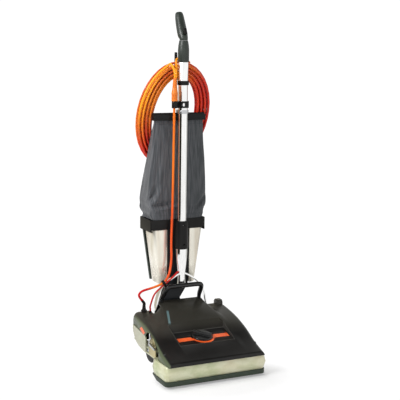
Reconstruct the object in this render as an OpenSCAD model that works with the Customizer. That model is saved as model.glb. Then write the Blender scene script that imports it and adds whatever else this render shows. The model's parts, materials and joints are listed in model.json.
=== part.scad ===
// Commercial upright vacuum cleaner: a low powered nozzle base with a motor, and a tilting handle
// that carries the air duct, the dust cup, the cloth bag and the coiled supply cord.
// Bench coordinates: x across, y back from the nozzle's front face, z up from the floor.

/* [Base] */
// Width of the base over the bumper
base_w = 356; // [320:2:400]
// How far the rounded nozzle band stands out past the bumper line
band_bulge = 4; // [1:0.5:8]
// Depth of the nozzle from its front face to its rear wall
nozzle_depth = 112; // [104:1:125]
// Height of the nozzle's lower edge above the floor
nozzle_low = 24; // [21:0.5:26]
// Height of the nozzle's upper edge, where the hood starts
nozzle_high = 71.6; // [70.5:0.1:74]
// Thickness of the floor pan
pan_t = 4; // [3:0.5:6]
// Height of the pan's underside above the floor
pan_low = 62; // [60:0.5:63]
// Thickness of the side panels
side_t = 4.5; // [3:0.5:6]

/* [Hood] */
// Depth of the hood from the nozzle's front face to its rear wall
hood_depth = 300; // [296:1:312]
// Wall thickness of the hood
hood_wall = 3; // [2:0.5:4]
// How far the hood's front edge stands out
lip_out = 8; // [5:0.5:9]
// Height of the hood's front edge
hood_lip = 86; // [82:0.5:92]
// Height of the shoulders at the rear
hood_back = 176; // [172:1:186]
// Height of the raised middle at the rear
hood_crown = 205; // [200:1:212]
// Half width of the raised middle at the rear
crown_half = 76; // [70:1:80]
// Radius of the long side edges
hood_edge_r = 17; // [10:1:22]
// Half width of the front recess
recess_half = 98; // [85:1:105]
// Where the recess floor starts, behind the front face
recess_front = 69; // [60:1:76]
// Where the recess floor ends at its rear wall
recess_back = 150; // [148:1:154]
// Diameter of the height dial
dial_d = 70; // [60:1:76]
// Diameter of the dial's spindle
spindle_d = 12; // [8:1:16]

/* [Bumper] */
// Height of the bumper's lower edge above the floor
bumper_low = 8; // [5:0.5:12]
// Thickness of the bumper strip
bumper_t = 6; // [4:0.5:7]
// Height of the bottom plate above the floor
plate_z = 10; // [9:0.5:11]

/* [Brush roll] */
// Distance of the roll's axis behind the front face
roll_y = 42; // [41:0.5:44]
// Height of the roll's axis
roll_z = 34; // [32:0.5:35]
// Diameter of the roll
roll_d = 40; // [34:1:42]
// Diameter over the bristle tips
bristle_d = 62; // [56:1:63]
// Diameter of one bristle tuft
tuft_d = 6; // [4:0.5:7]
// Radius of the brush chamber
chamber_r = 35; // [34:0.5:36]

/* [Motor] */
// Distance of the motor shaft behind the front face
motor_y = 208; // [206:1:210]
// Height of the motor shaft
motor_z = 108.5; // [108:0.5:112]
// Diameter of the motor housing
motor_d = 80; // [70:1:84]
// Diameter of the fan housing
fan_case_d = 92; // [88:1:94]
// Diameter of the fan
fan_d = 82; // [70:1:84]
// Number of fan blades
fan_blades = 9; // [6:1:12]
// Diameter of the motor shaft
shaft_d = 10; // [8:0.5:12]
// Diameter of the drive pulley
pulley_d = 24; // [20:1:28]
// Width of the flat belt
belt_w = 12; // [8:1:13]
// Thickness of the flat belt
belt_t = 2.5; // [2:0.5:3]

/* [Wheels] */
// Diameter of the rear wheels
rear_wheel_d = 76; // [70:1:80]
// Width of the rear wheels
rear_wheel_w = 26; // [20:1:27]
// Distance of the rear axle behind the front face
rear_axle_y = 268; // [266:1:272]
// Distance of the rear wheels' inner faces from the middle
rear_wheel_in = 94; // [93.5:0.5:96]
// Diameter of the rear axle
rear_axle_d = 10; // [8:0.5:12]
// Diameter of the front wheels
front_wheel_d = 36; // [30:1:40]
// Width of the front wheels
front_wheel_w = 18; // [12:1:22]
// Distance of the front axle behind the front face
front_axle_y = 142; // [138:1:146]
// Diameter of the front axle
front_axle_d = 7; // [6:0.5:9]
// Distance of the carriage hinge behind the front face
carriage_y = 192; // [188:1:196]
// Height of the carriage hinge
carriage_z = 50; // [46:0.5:52]

/* [Handle] */
// Outer diameter of the handle tube
tube_d = 32; // [28:0.5:34]
// Wall of the handle tube
tube_wall = 1.6; // [1:0.1:3]
// Distance of the tube's axis behind the nozzle's front face
tube_y = 280; // [279:0.5:281]
// Height of the handle's tilting axis
pivot_z = 150; // [148:0.5:152]
// Diameter of the tilting pins
pivot_d = 10; // [8:0.5:12]
// Height of the fork's top, where the tube goes in
fork_top = 382; // [370:1:390]
// Depth of the tube in the fork
tube_seat = 38; // [30:1:42]
// Width of the fork's flat arms
arm_w = 20; // [14:1:22]
// Thickness of the fork's flat arms
arm_t = 5; // [3:0.5:6]
// Distance of the arms from the middle at the tilting pins
arm_x = 95; // [94.5:0.5:95.5]
// Height of the grip cuff's lower edge
cuff_low = 1003; // [990:1:1020]
// Height of the grip cuff
cuff_h = 69; // [60:1:80]
// Outer diameter of the grip cuff
cuff_d = 37; // [35.5:0.5:39]
// Height of the whole grip above the cuff
grip_h = 91; // [80:1:100]
// How far the grip bends back at its top
grip_back = 40; // [25:1:50]
// Travel of the switch rocker out of the grip
rocker_out = 3; // [2:0.5:5]

/* [Tube clamp] */
// Height of the clamp's lower edge
clamp_low = 384; // [383:1:392]
// Height of the clamp's upper edge
clamp_high = 477; // [470:1:478]
// Width of the clamp
clamp_w = 46; // [42:1:50]

/* [Air duct] */
// Half width of the duct
duct_half = 40; // [34:1:42]
// Depth of the duct from front to back
duct_depth = 31; // [26:1:33]
// Wall of the duct
duct_wall = 3; // [2:0.5:4]
// Gap between the tube and the duct's front
duct_gap = 10.8; // [10:0.2:12]
// Radius of the swivel drum at the duct's foot
drum_r = 34; // [30:1:36]

/* [Dust cup and rim] */
// Width of the rim that joins bag and cup
rim_w = 203; // [190:1:210]
// Depth of the rim
rim_depth = 102; // [96:1:106]
// Height of the rim's lower edge
rim_low = 447; // [445:0.5:450]
// Height of the rim's upper edge
rim_high = 479; // [478:0.5:484]
// Wall of the rim
rim_wall = 3; // [2.5:0.5:4]
// Height of the cup's bottom
cup_low = 257; // [252:1:266]
// Width of the cup at its top
cup_top_w = 188; // [180:1:189]
// Width of the cup at its bottom
cup_low_w = 134; // [124:1:144]
// Wall of the cup
cup_wall = 3; // [2:0.5:4]
// Thickness of the cup's dark back
cup_back_t = 17; // [12:1:22]

/* [Bag] */
// Height of the bag's clamped top
bag_top = 824; // [810:1:840]
// Width of the bag at its widest
bag_w = 218; // [205:1:222]
// Width of the bag at its top
bag_top_w = 180; // [160:1:184]
// Depth of the bag at its top
bag_top_depth = 8; // [6:0.5:12]
// Length of the top clip
clip_w = 188; // [186:1:200]
// Height of the top clip
clip_h = 24; // [18:1:30]
// Thickness of the bag's cloth and lining
bag_wall = 2; // [1.5:0.5:2.5]
// Depth of the top clip
clip_depth = 20; // [17:1:22]

/* [Carry handle] */
// Diameter of the carry handle's bar
bar_d = 16; // [12:1:18]
// Height of the bar's axis
bar_z = 261; // [256:1:266]

/* [Cord] */
// Diameter of the supply cord
cord_d = 8; // [7:0.5:8.5]
// Loops in each layer of the coil
coil_turns = 4; // [3:1:5]
// Height of the hook's floor
hook_z = 953; // [946:1:954]
// Depth of the hook behind the tube
hook_depth = 50; // [50:1:54]
// Height of the cord clip's middle on the tube
cord_clip_z = 866; // [860:1:872]

/* [Hidden] */
$fn = 48;
fit = 0.3;                                   // gap between pieces that seat on each other
run = 0.1;                                   // radial running clearance of shafts and pins
half = base_w / 2;
rim_front = tube_y + tube_d / 2 + 7.5;       // front face of the rim
rim_back = rim_front + rim_depth;
frame_y = (rim_back - lip_out) / 2;          // middle of the whole object, front to back

black = [0.07, 0.07, 0.07];
silver = [0.72, 0.74, 0.68];
steel = [0.62, 0.63, 0.64];
chrome = [0.85, 0.86, 0.88];
orange = [0.90, 0.30, 0.08];
rubber = [0.12, 0.13, 0.12];

// A piece in its colour, moved from bench coordinates to the object's own frame
module piece(tint) {
    color(tint) translate([0, -frame_y, 0]) children();
}

// ---------- helpers ----------
function unit(v) = v / norm(v);
function mean(points) = [for (k = [0:2]) sum([for (p = points) p[k]]) / len(points)];
function sum(v, i = 0) = i < len(v) ? v[i] + sum(v, i + 1) : 0;
function mix(a, b, t) = a + (b - a) * t;
function ease(t) = let(u = max(0, min(1, t))) u * u * (3 - 2 * u);

// Smooth curve through the given points, with steps points for each span
function spline(p, steps) = let(n = len(p)) concat(
    [for (i = [0:n - 2], s = [0:steps - 1])
        let(a = p[max(i - 1, 0)], b = p[i], c = p[i + 1], d = p[min(i + 2, n - 1)], t = s / steps)
        b + 0.5 * t * (c - a) + t * t * (a - 2.5 * b + 2 * c - 0.5 * d)
          + t * t * t * (1.5 * b - 0.5 * a - 1.5 * c + 0.5 * d)],
    [p[n - 1]]);

// Height on a curve given as a list of [place, height]
function height_at(curve, y, i = 0) =
    i >= len(curve) - 2 || y <= curve[i + 1][0]
    ? mix(curve[i][1], curve[i + 1][1], (y - curve[i][0]) / (curve[i + 1][0] - curve[i][0]))
    : height_at(curve, y, i + 1);

// Closed solid over rings of equally many points, stacked so that each ring turns left seen from its end
module skin(rings) {
    n = len(rings[0]);
    m = len(rings);
    points = concat([for (ring = rings) each ring], [mean(rings[0]), mean(rings[m - 1])]);
    sides = [for (i = [0:m - 2], k = [0:n - 1])
        let(a = i * n + k, b = i * n + (k + 1) % n)
        each [[a, a + n, b], [b, a + n, b + n]]];
    caps = [for (k = [0:n - 1])
        each [[m * n, k, (k + 1) % n], [m * n + 1, (m - 1) * n + (k + 1) % n, (m - 1) * n + k]]];
    polyhedron(points = points, faces = concat(sides, caps), convexity = 8);
}

function heading(path, i) = unit(path[min(i + 1, len(path) - 1)] - path[max(i - 1, 0)]);
function squared(v, t) = unit(v - (v * t) * t);

// Rings of a round tube swept along a path; radius is one number or one for each point
function tube_rings(path, radius, sides, first) =
    [for (i = 0, v = squared(first, heading(path, 0)); i < len(path);
          i = i + 1, v = i < len(path) ? squared(v, heading(path, i)) : v)
        let(t = heading(path, i), w = cross(t, v), r = is_list(radius) ? radius[i] : radius)
        [for (k = [0:sides - 1]) path[i] + r * (cos(360 * k / sides) * v + sin(360 * k / sides) * w)]];

// Outline of a flat strap of thickness t along a plane path
function strap_outline(path, t) = concat(
    [for (i = [0:len(path) - 1]) let(d = heading(path, i)) path[i] + t / 2 * [-d[1], d[0]]],
    [for (i = [len(path) - 1:-1:0]) let(d = heading(path, i)) path[i] - t / 2 * [-d[1], d[0]]]);

module rod_x(d, x0, x1, y, z) {
    translate([x0, y, z]) rotate([0, 90, 0]) cylinder(d = d, h = x1 - x0);
}

module slab(half_w, y0, y1, r, z, t) {
    translate([0, 0, z]) linear_extrude(t) hull() {
        for (sx = [-1, 1]) for (y = [y0 + r, y1 - r]) translate([sx * (half_w - r), y]) circle(r = r, $fn = 32);
    }
}

module rect_plate(half_w, y0, y1, r, z, t) {
    translate([0, 0, z]) linear_extrude(t) rounded(half_w, y0, y1, r);
}

// Plane rounded rectangle made from true arcs
module rounded(half_w, y0, y1, r) {
    translate([-half_w + r, y0]) square([2 * (half_w - r), y1 - y0]);
    translate([-half_w, y0 + r]) square([2 * half_w, y1 - y0 - 2 * r]);
    for (sx = [-1, 1]) for (y = [y0 + r, y1 - r]) translate([sx * (half_w - r), y]) circle(r = r);
}

module box(x, y, z) {
    translate([x[0], y[0], z[0]]) cube([x[1] - x[0], y[1] - y[0], z[1] - z[0]]);
}

// Extrudes a side view, drawn as [y, z], from x0 to x1
module side_view(x0, x1) {
    translate([x0, 0, 0]) rotate([90, 0, 90]) linear_extrude(x1 - x0) children();
}

// ---------- hood surface ----------
hood_half = half - 6;
hood_curve = spline([for (p = [[0, 0], [0.2, 0.22], [0.383, 0.53], [0.567, 0.745], [0.683, 0.845],
    [0.87, 0.96], [1, 1]]) [p[0] * hood_depth, mix(hood_lip, hood_back, p[1])]], 3);
crown_rise = (hood_crown - hood_lip + 2) / (hood_depth - 15);
recess_low = mix(hood_lip, hood_back, 0.3);
recess_slope = 0.2;
function hood_w(y) = hood_half - 6 * pow(max(y, 0) / hood_depth, 2);
function crown_z(y) = min(hood_lip - 2 + crown_rise * y, hood_crown);
function crown_edge(y) = crown_half + 24 * (1 - ease((y - 150) / 135));
function hood_z(x, y) =
    let(w = hood_w(y), shoulder = height_at(hood_curve, max(y, 0)), over = max(0, abs(x) - (w - hood_edge_r)),
        side_drop = hood_edge_r - sqrt(max(0, pow(hood_edge_r, 2) - over * over)),
        lift = max(0, crown_z(max(y, 0)) - shoulder) * ease((crown_edge(y) + 26 - abs(x)) / 26),
        front = y < 0 ? lip_out - sqrt(max(0, lip_out * lip_out - y * y)) : 0,
        rear = y > hood_depth - 12 ? 12 - sqrt(max(0, 144 - pow(y - hood_depth + 12, 2))) : 0)
    shoulder + lift - side_drop - front - rear;

// One cross section of the hood, drawn inside its outer surface by the distance t
function hood_section(y, t, low) =
    let(w = hood_w(y) - t, r = hood_edge_r - t / 2, c = crown_edge(y),
        xs = concat([for (a = [90, 68, 45, 22, 0]) w - r + r * sin(a)], [c + 26, c + 17, c + 9, c, c / 2, 0]),
        side = [for (x = xs) [-x, y, hood_z(x * hood_w(y) / w, y) - t]])
    concat([[-w, y, low]], side, [for (i = [len(side) - 2:-1:0]) [-side[i][0], y, side[i][2]]], [[w, y, low]]);

hood_stations = concat([-lip_out, 1 - lip_out, -lip_out / 2, 0], [for (k = [1:10]) k * 25],
    [hood_depth - 28, hood_depth - 12, hood_depth - 5, hood_depth - 1.5, hood_depth]);
inner_stations = concat([-4, 0], [for (k = [1:10]) k * 25], [hood_depth - 28, hood_depth - 12, hood_depth - 4]);

function seam_z(y) = nozzle_high + 31.5 + 0.0935 * y;    // where the hood meets the side panels

// The front recess: floor, sloping rear wall and open top, grown by g on every side
module recess(g) {
    y0 = recess_front;
    top = crown_z(recess_back + 26) + 30;
    floor_back = recess_low + recess_slope * (recess_back - y0);
    intersection() {
        side_view(-recess_half - g, recess_half + g)
            polygon([[y0 - 4 * g, recess_low - g], [recess_back + g, floor_back - g],
                     [recess_back + 26 + g, floor_back + 32 - g], [recess_back + 26 + g, top], [y0 - 4 * g, top]]);
        rect_plate(recess_half + g, y0 - 40, recess_back + 26 + g, 16, 0, top);
    }
}

module hood() {
    pocket_back = nozzle_depth + 76;
    piece(black) {
        difference() {
            skin([for (y = hood_stations) hood_section(y, 0, nozzle_low)]);
            box([-half, half], [-half, hood_depth + half], [0, nozzle_high + fit]);
            recess(0);
            difference() {
                skin([for (y = inner_stations) hood_section(y, hood_wall, nozzle_low - 4)]);
                recess(hood_wall);
            }
            // lower edges of the side walls, over the side panels
            for (s = [[-1, pocket_back - fit], [1, nozzle_depth - 1 - fit]])
                side_view(s[0] < 0 ? -half : half - 26, s[0] < 0 ? -half + 26 : half)
                    polygon([[s[1], 0], [s[1], seam_z(s[1])], [hood_depth + 5, seam_z(hood_depth + 5)],
                             [hood_depth + 5, 0]]);
            // side pocket over the release lever
            side_view(-half, -half + 32)
                polygon([[74, 0], [74, 99], [92, 112], [108, 121], [124, 129], [150, 139], [170, 139], [184, 128],
                         [pocket_back, 116], [pocket_back, 0]]);
            // open slots behind the fork's arms
            for (sx = [-1, 1]) translate([sx * arm_x, 0, 0])
                box([-14, 14], [tube_y - arm_w / 2 - 8, hood_depth + 5], [0, hood_crown + 20]);
            // rear opening for the duct and its swivel
            for (cut = [[20, pivot_z + drum_r + 8], [9, hood_crown + 5]])
                box([foot_x - drum_half - 4, foot_x + drum_half + 4], [hood_depth - cut[0], hood_depth + 5], [90, cut[1]]);
            // dial spindle, cord gland
            dial_place() translate([0, 0, -20]) cylinder(d = spindle_d + 10 + 2 * fit, h = 60);
            translate([gland_x, gland_y, hood_back - 40]) cylinder(d = 14 + 2 * fit, h = 80);
        }
        // catch block at the right rear corner
        intersection() {
            box([half - 42, half - 20], [hood_depth - 26, hood_depth - 1], [hood_back - 8, hood_back + 12]);
            translate([half - 30, hood_depth - 12, hood_back - 12]) cylinder(r1 = 26, r2 = 12, h = 26, $fn = 40);
        }
    }
}

// Where the dial sits, square to the recess floor
dial_y = recess_front + 43;
dial_tilt = atan(recess_slope);
function dial_z() = recess_low + recess_slope * (dial_y - recess_front);

module dial_place() {
    translate([0, dial_y, dial_z()]) rotate([dial_tilt, 0, 0]) children();
}

function hood_normal(x, y) = unit([hood_z(x - 1, y) - hood_z(x + 1, y), hood_z(x, y - 1) - hood_z(x, y + 1), 2]);

// Stands a shape square on the hood's outer surface
module on_hood(x, y) {
    v = hood_normal(x, y);
    translate([x, y, hood_z(x, y)]) rotate([0, acos(v[2]), atan2(v[1], v[0])]) children();
}

module hood_screws() {
    piece(steel) for (sx = [-1, 1]) on_hood(sx * (hood_half - 9), 47)
        translate([0, 0, 2 * fit]) cylinder(d1 = 8, d2 = 5, h = 2, $fn = 24);
}

// ---------- base ----------
module base_housing() {
    belt_x = drive_x();
    piece(silver) difference() {
        union() {
            hull() {
                slab(half - 2, 2, nozzle_depth, 14, nozzle_low, 1);
                slab(half + band_bulge, -band_bulge, nozzle_depth, 17, mix(nozzle_low, nozzle_high, 0.5), 1);
                slab(half - 2, 2, nozzle_depth, 14, nozzle_high - 1, 1);
            }
            // skirt inside the bumper, down to the bottom plate
            rect_plate(half - bumper_t - 2 - fit, bumper_t + fit, nozzle_depth, 9, plate_z + 2 + fit, nozzle_low - plate_z - 2);
            // floor pan with its stepped sides
            box([-half + 14, half - 14], [nozzle_depth - 4, nozzle_depth + 80], [pan_low, pan_low + pan_t]);
            box([-half + 36, half - 36], [nozzle_depth, hood_depth - 8], [pan_low, pan_low + pan_t]);
            for (sx = [-1, 1]) scale([sx, 1, 1]) {
                box([half - 40, half - 36], [nozzle_depth + 76, hood_depth - 8], [pan_low, pan_low + 26]);
                box([half - 40, half - 10], [nozzle_depth + 76, hood_depth - 14], [pan_low + 22, pan_low + 26]);
            }
            side_panel(-1, nozzle_depth + 76);
            side_panel(1, nozzle_depth - 1);
            // lugs for the rear axle and for the carriage hinge
            for (sx = [-1, 1]) {
                side_view(sx * 84 - 3, sx * 84 + 3) lug(rear_axle_y, rear_wheel_d / 2, rear_axle_d + 12);
                side_view(sx * 59 - 3, sx * 59 + 3) lug(carriage_y, carriage_z, 16);
            }
            // ribs under the pan
            for (y = [nozzle_depth + 30, nozzle_depth + 66])
                box([-half + 60, half - 60], [y, y + 3], [pan_low - 4, pan_low + 1]);
            // saddles under the motor
            for (x = [-52, 42]) side_view(x, x + 10) difference() {
                translate([motor_y - 32, pan_low + 1]) square([64, motor_z - 22 - pan_low]);
                translate([motor_y, motor_z]) circle(r = motor_d / 2 + fit);
            }
        }
        // brush chamber and the hollow behind it, both open below
        rod_x(2 * chamber_r, -half + 13, half - 13, roll_y, roll_z);
        box([-half + 13, half - 13], [roll_y - chamber_r + 3, roll_y + chamber_r + 3], [0, roll_z + 14]);
        box([-half + 13, half - 13], [roll_y + chamber_r + 7, nozzle_depth - 4], [0, nozzle_high - 4]);
        // belt way from the chamber to the motor
        box([belt_x - belt_w / 2 - 4, belt_x + belt_w / 2 + 4], [roll_y, motor_y + 16], [roll_z - 16, 105]);
        // suction way from the chamber up to the intake duct
        box([intake_x - 12, intake_x + 12], [roll_y + chamber_r - 6, roll_y + chamber_r + 9], [34, 58]);
        box([intake_x - 12, intake_x + 12], [nozzle_depth - 24, nozzle_depth - 8], [50, nozzle_high + 1]);
        // fan and wheel openings in the pan
        box([-113, -67], [motor_y - 34, motor_y + 34], [pan_low - 1, pan_low + pan_t + 1]);
        for (sx = [-1, 1]) scale([sx, 1, 1])
            box([rear_wheel_in - 2, rear_wheel_in + rear_wheel_w + 2],
                [rear_axle_y - rear_wheel_d / 2 - 3, hood_depth], [0, rear_wheel_d + 4]);
        rod_x(rear_axle_d + 2 * run, -90, 90, rear_axle_y, rear_wheel_d / 2);
        rod_x(8 + 2 * run, -80, 80, carriage_y, carriage_z);
        // way of the dial spindle
        box([-16, 16], [nozzle_depth + 0.5, nozzle_depth + 29], [pan_low - 5, pan_low + pan_t + 1]);
    }
}

module lug(y, z, d) {
    translate([y, z]) circle(d = d);
    translate([y - d / 2, z]) square([d, pan_low - z + 1]);
}

module side_panel(sx, y0) {
    x0 = half - 9.5 - side_t;
    curve = spline([[250, 73], [272, 83], [288, 99], [296, 114], [hood_depth - 2, seam_z(hood_depth - 2) - fit]], 3);
    side_view(sx > 0 ? x0 : -x0 - side_t, sx > 0 ? x0 + side_t : -x0)
        polygon(concat([[y0, seam_z(y0) - fit], [y0, pan_low + 3], [200, pan_low + 3]], curve));
}

slot_step = (base_w - 48) / 7;               // spacing of the bars in the bottom plate

module bottom_plate() {
    piece(steel) difference() {
        rect_plate(half - bumper_t - 2 - fit, bumper_t + fit, nozzle_depth - 2, 8, plate_z, 2);
        for (k = [-3:3]) translate([k * slot_step, 0, 0])
            box([-slot_step / 2 + 3, slot_step / 2 - 3], [roll_y - chamber_r + 4, roll_y + chamber_r + 2], [0, nozzle_low]);
        for (sx = [-1, 1]) translate([sx * (3.5 * slot_step + 4), 0, 0])
            box([-3, 3], [roll_y - chamber_r + 4, roll_y + chamber_r + 2], [0, nozzle_low]);
    }
}

module bumper() {
    piece(rubber) intersection() {
        translate([0, 0, bumper_low]) linear_extrude(nozzle_low - fit - bumper_low) difference() {
            rounded(half, -2, nozzle_depth + 30, 16);
            rounded(half - bumper_t, -2 + bumper_t, nozzle_depth + 40, 10);
        }
        side_view(-half, half) polygon([[-5, bumper_low], [74, bumper_low], [nozzle_depth - 8, nozzle_low - 5],
            [nozzle_depth - 3, nozzle_low], [-5, nozzle_low]]);
    }
}

module carry_handle() {
    foot = [70, 283];
    right = [[foot[0], foot[1], hood_crown - 8], [foot[0], foot[1] - 1, hood_crown + 8], [68, 273, 226],
        [66, 259, bar_z - 16], [62, 251, bar_z - 4], [50, 250, bar_z]];
    path = spline(concat(right, [[0, 250, bar_z]], [for (i = [5:-1:0]) [-right[i][0], right[i][1], right[i][2]]]), 3);
    thick = [for (p = path) mix(6.6, bar_d / 2, ease((p[2] - hood_crown) / 26))];
    piece(black) intersection() {
        skin(tube_rings(path, thick, 12, [0, 1, 0]));
        side_view(-120, 120) polygon([[200, crown_z(200) + fit], [hood_depth - 15, hood_crown + fit],
            [hood_depth + 10, hood_crown + fit], [hood_depth + 10, 320], [200, 320]]);
    }
}

// ---------- height dial and front wheels ----------
module dial_bush() {
    piece(black) dial_place() translate([0, 0, -9]) difference() {
        union() {
            cylinder(d = spindle_d + 10, h = 9 + fit);
            cylinder(d = spindle_d + 18, h = 9 - hood_wall - 1 - fit);
        }
        translate([0, 0, -1]) cylinder(d = spindle_d + 2 * run, h = 30);
    }
}

module height_dial() {
    reach = (dial_z() - carriage_z - 4.5 - 2.2) / cos(dial_tilt);
    piece(black) dial_place() {
        translate([0, 0, 1]) {
            rotate_extrude() polygon([[0, 0], [dial_d / 2, 0], [dial_d / 2, 3], [dial_d / 2 - 3, 6],
                [dial_d / 2 - 9, 5.5], [0, 6.5]]);
            intersection() {
                cylinder(d = dial_d - 8, h = 17);
                rotate([0, 0, -38]) union() {
                    box([-dial_d / 2, dial_d / 2], [-4, 4], [4, 16]);
                    box([-dial_d / 2, dial_d / 2], [-7, 7], [4, 8]);
                }
            }
        }
        translate([0, 0, 3 - reach]) cylinder(d = spindle_d, h = reach);
        // stepped cam over the carriage's tongue
        translate([0, 0, -reach]) difference() {
            cylinder(d = 20, h = 4);
            for (a = [0:60:300]) rotate([0, 0, a]) translate([11, 0, -1]) cylinder(d = 4, h = 8);
        }
    }
}

carriage_half = 66;                          // from the middle to the carriage's side arms

module front_carriage() {
    z = front_wheel_d / 2;
    side = carriage_half;
    piece(steel) difference() {
        union() {
            for (sx = [-1, 1]) side_view(sx * side - 2, sx * side + 2) hull() {
                translate([front_axle_y, z]) circle(d = 16, $fn = 32);
                translate([carriage_y, carriage_z]) circle(d = 14, $fn = 32);
                translate([front_axle_y + 24, carriage_z]) circle(d = 8, $fn = 32);
            }
            box([-side, side], [front_axle_y + 24, front_axle_y + 36], [carriage_z - 1, carriage_z + 2]);
            // tongue under the dial's cam
            box([-11, 11], [nozzle_depth + 2, front_axle_y + 26], [carriage_z - 1, carriage_z + 2]);
            rod_x(8, -side - 4, side + 4, carriage_y, carriage_z);
        }
        rod_x(front_axle_d + 2 * run, -side - 4, side + 4, front_axle_y, z);
    }
}

module front_axle() {
    piece(steel) rod_x(front_axle_d, -carriage_half - 4, carriage_half + 4, front_axle_y, front_wheel_d / 2);
}

module front_wheel(sx) {
    x = sx * (carriage_half - 3 - front_wheel_w / 2);
    piece(rubber) translate([x, front_axle_y, front_wheel_d / 2]) rotate([0, 90, 0]) difference() {
        rotate_extrude() polygon([[0, -front_wheel_w / 2], [front_wheel_d / 2 - 2, -front_wheel_w / 2],
            [front_wheel_d / 2, -front_wheel_w / 2 + 2], [front_wheel_d / 2, front_wheel_w / 2 - 2],
            [front_wheel_d / 2 - 2, front_wheel_w / 2], [0, front_wheel_w / 2]]);
        cylinder(d = front_axle_d + 2 * run, h = 40, center = true);
    }
}

module front_wheel_left() {
    front_wheel(-1);
}

module front_wheel_right() {
    front_wheel(1);
}

module rear_axle() {
    reach = rear_wheel_in + rear_wheel_w + 4;
    z = rear_wheel_d / 2;
    piece(steel) {
        rod_x(rear_axle_d, -reach, reach, rear_axle_y, z);
        for (sx = [-1, 1]) scale([sx, 1, 1]) rod_x(rear_axle_d + 6, reach - 3.5, reach - 0.5, rear_axle_y, z);
    }
}

module rear_wheel(sx) {
    r = rear_wheel_d / 2;
    w = rear_wheel_w / 2;
    piece(rubber) translate([sx * (rear_wheel_in + w), rear_axle_y, r]) rotate([0, 90, 0]) difference() {
        rotate_extrude($fn = 64) polygon([[0, -w], [r - 4, -w], [r, -w + 4], [r, w - 4], [r - 4, w], [r - 12, w],
            [r - 14, w - 5], [12, w - 5], [10, w], [0, w]]);
        cylinder(d = rear_axle_d + 2 * run, h = 60, center = true);
        for (a = [0:60:300]) rotate([0, 0, a]) translate([0, 18, w - 12]) cylinder(d = 7, h = 20);
    }
}

module rear_wheel_left() {
    rear_wheel(-1);
}

module rear_wheel_right() {
    rear_wheel(1);
}

// ---------- motor, fan and brush drive ----------
function drive_x() = half - 30;
stand_in = 29;                               // from the belt's middle to the outboard bearing's far face
can_x = [-64, 68];
fan_x = [-108, -74];
intake_x = -124;
elbow_low = motor_z + 42;
throat_y = motor_y + 20;

module at_motor() {
    translate([0, motor_y, motor_z]) rotate([0, 90, 0]) children();
}

module motor_housing() {
    r = motor_d / 2;
    piece(steel) at_motor() difference() {
        rotate_extrude() polygon([[shaft_d / 2 + 6, can_x[0]], [r - 8, can_x[0]], [r, can_x[0] + 8], [r, can_x[1] - 8],
            [r - 8, can_x[1]], [shaft_d / 2 + 6, can_x[1]], [shaft_d / 2 + 6, can_x[1] - 8], [r - 11, can_x[1] - 8],
            [r - 3, can_x[1] - 14], [r - 3, can_x[0] + 14], [r - 11, can_x[0] + 8], [shaft_d / 2 + 6, can_x[0] + 8]]);
        for (a = [0:45:315]) rotate([0, 0, a]) translate([r, 0, can_x[1] - 28]) cube([16, 6, 16], center = true);
    }
}

module motor_field() {
    piece(steel) at_motor() translate([0, 0, -34]) difference() {
        cylinder(d = motor_d - 6 - 2 * fit, h = 56);
        translate([0, 0, -1]) cylinder(d = 52, h = 60);
    }
}

module motor_bearings() {
    piece(steel) at_motor() {
        for (x = [can_x[0] + 0.5, can_x[1] - 7.5]) translate([0, 0, x]) bearing(7, shaft_d / 2 + 6 - 0.05);
        // outboard bearing and its stand
        difference() {
            translate([0, 0, drive_x() - stand_in]) union() {
                cylinder(d = 38, h = 6);
                translate([0, -13, 0]) cube([motor_z - pan_low - pan_t - fit, 26, 6]);
                cylinder(d = 24, h = 8);
            }
            translate([0, 0, drive_x() - stand_in - 9]) cylinder(d = shaft_d + 2 * run, h = 30);
        }
    }
}

module bearing(h, r) {
    difference() {
        cylinder(r = r, h = h);
        translate([0, 0, -1]) cylinder(d = shaft_d + 2 * run, h = h + 2);
    }
}

module rotor_shaft() {
    start = fan_x[0] + 4;
    piece(steel) at_motor() {
        translate([0, 0, start]) cylinder(d = shaft_d, h = drive_x() + belt_w / 2 + 4 - start);
        difference() {
            translate([0, 0, -36]) cylinder(d = 50, h = 58);
            for (a = [0:45:315]) rotate([0, 0, a]) translate([25, 0, -38]) cylinder(d = 4, h = 64, $fn = 24);
        }
        translate([0, 0, 34]) cylinder(d = 24, h = 18);
    }
}

module suction_fan() {
    hub = shaft_d / 2 + 0.05;
    turn = 34;
    piece(steel) at_motor() translate([0, 0, fan_x[0] + 5]) {
        rotate_extrude() polygon([[hub, 0], [hub + 6, 0], [hub + 7, 18], [fan_d / 2, 21], [fan_d / 2, 23.5], [hub, 23.5]]);
        for (k = [0:fan_blades - 1]) rotate([0, 0, k * 360 / fan_blades]) linear_extrude(18.4)
            polygon(strap_outline([for (s = [0:4]) let(r = mix(13, fan_d / 2 - 1, s / 4))
                r * [cos(turn * s / 4), sin(turn * s / 4)]], 1.8));
    }
}

module drive_pulley() {
    x = drive_x();
    piece(steel) at_motor() translate([0, 0, x - belt_w / 2 - 2]) rotate_extrude() {
        r = pulley_d / 2;
        polygon([[shaft_d / 2 + 0.05, 0], [r + 3, 0], [r + 3, 1.5], [r, 2], [r, belt_w + 2], [r + 3, belt_w + 2.5],
            [r + 3, belt_w + 4], [shaft_d / 2 + 0.05, belt_w + 4]]);
    }
}

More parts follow.
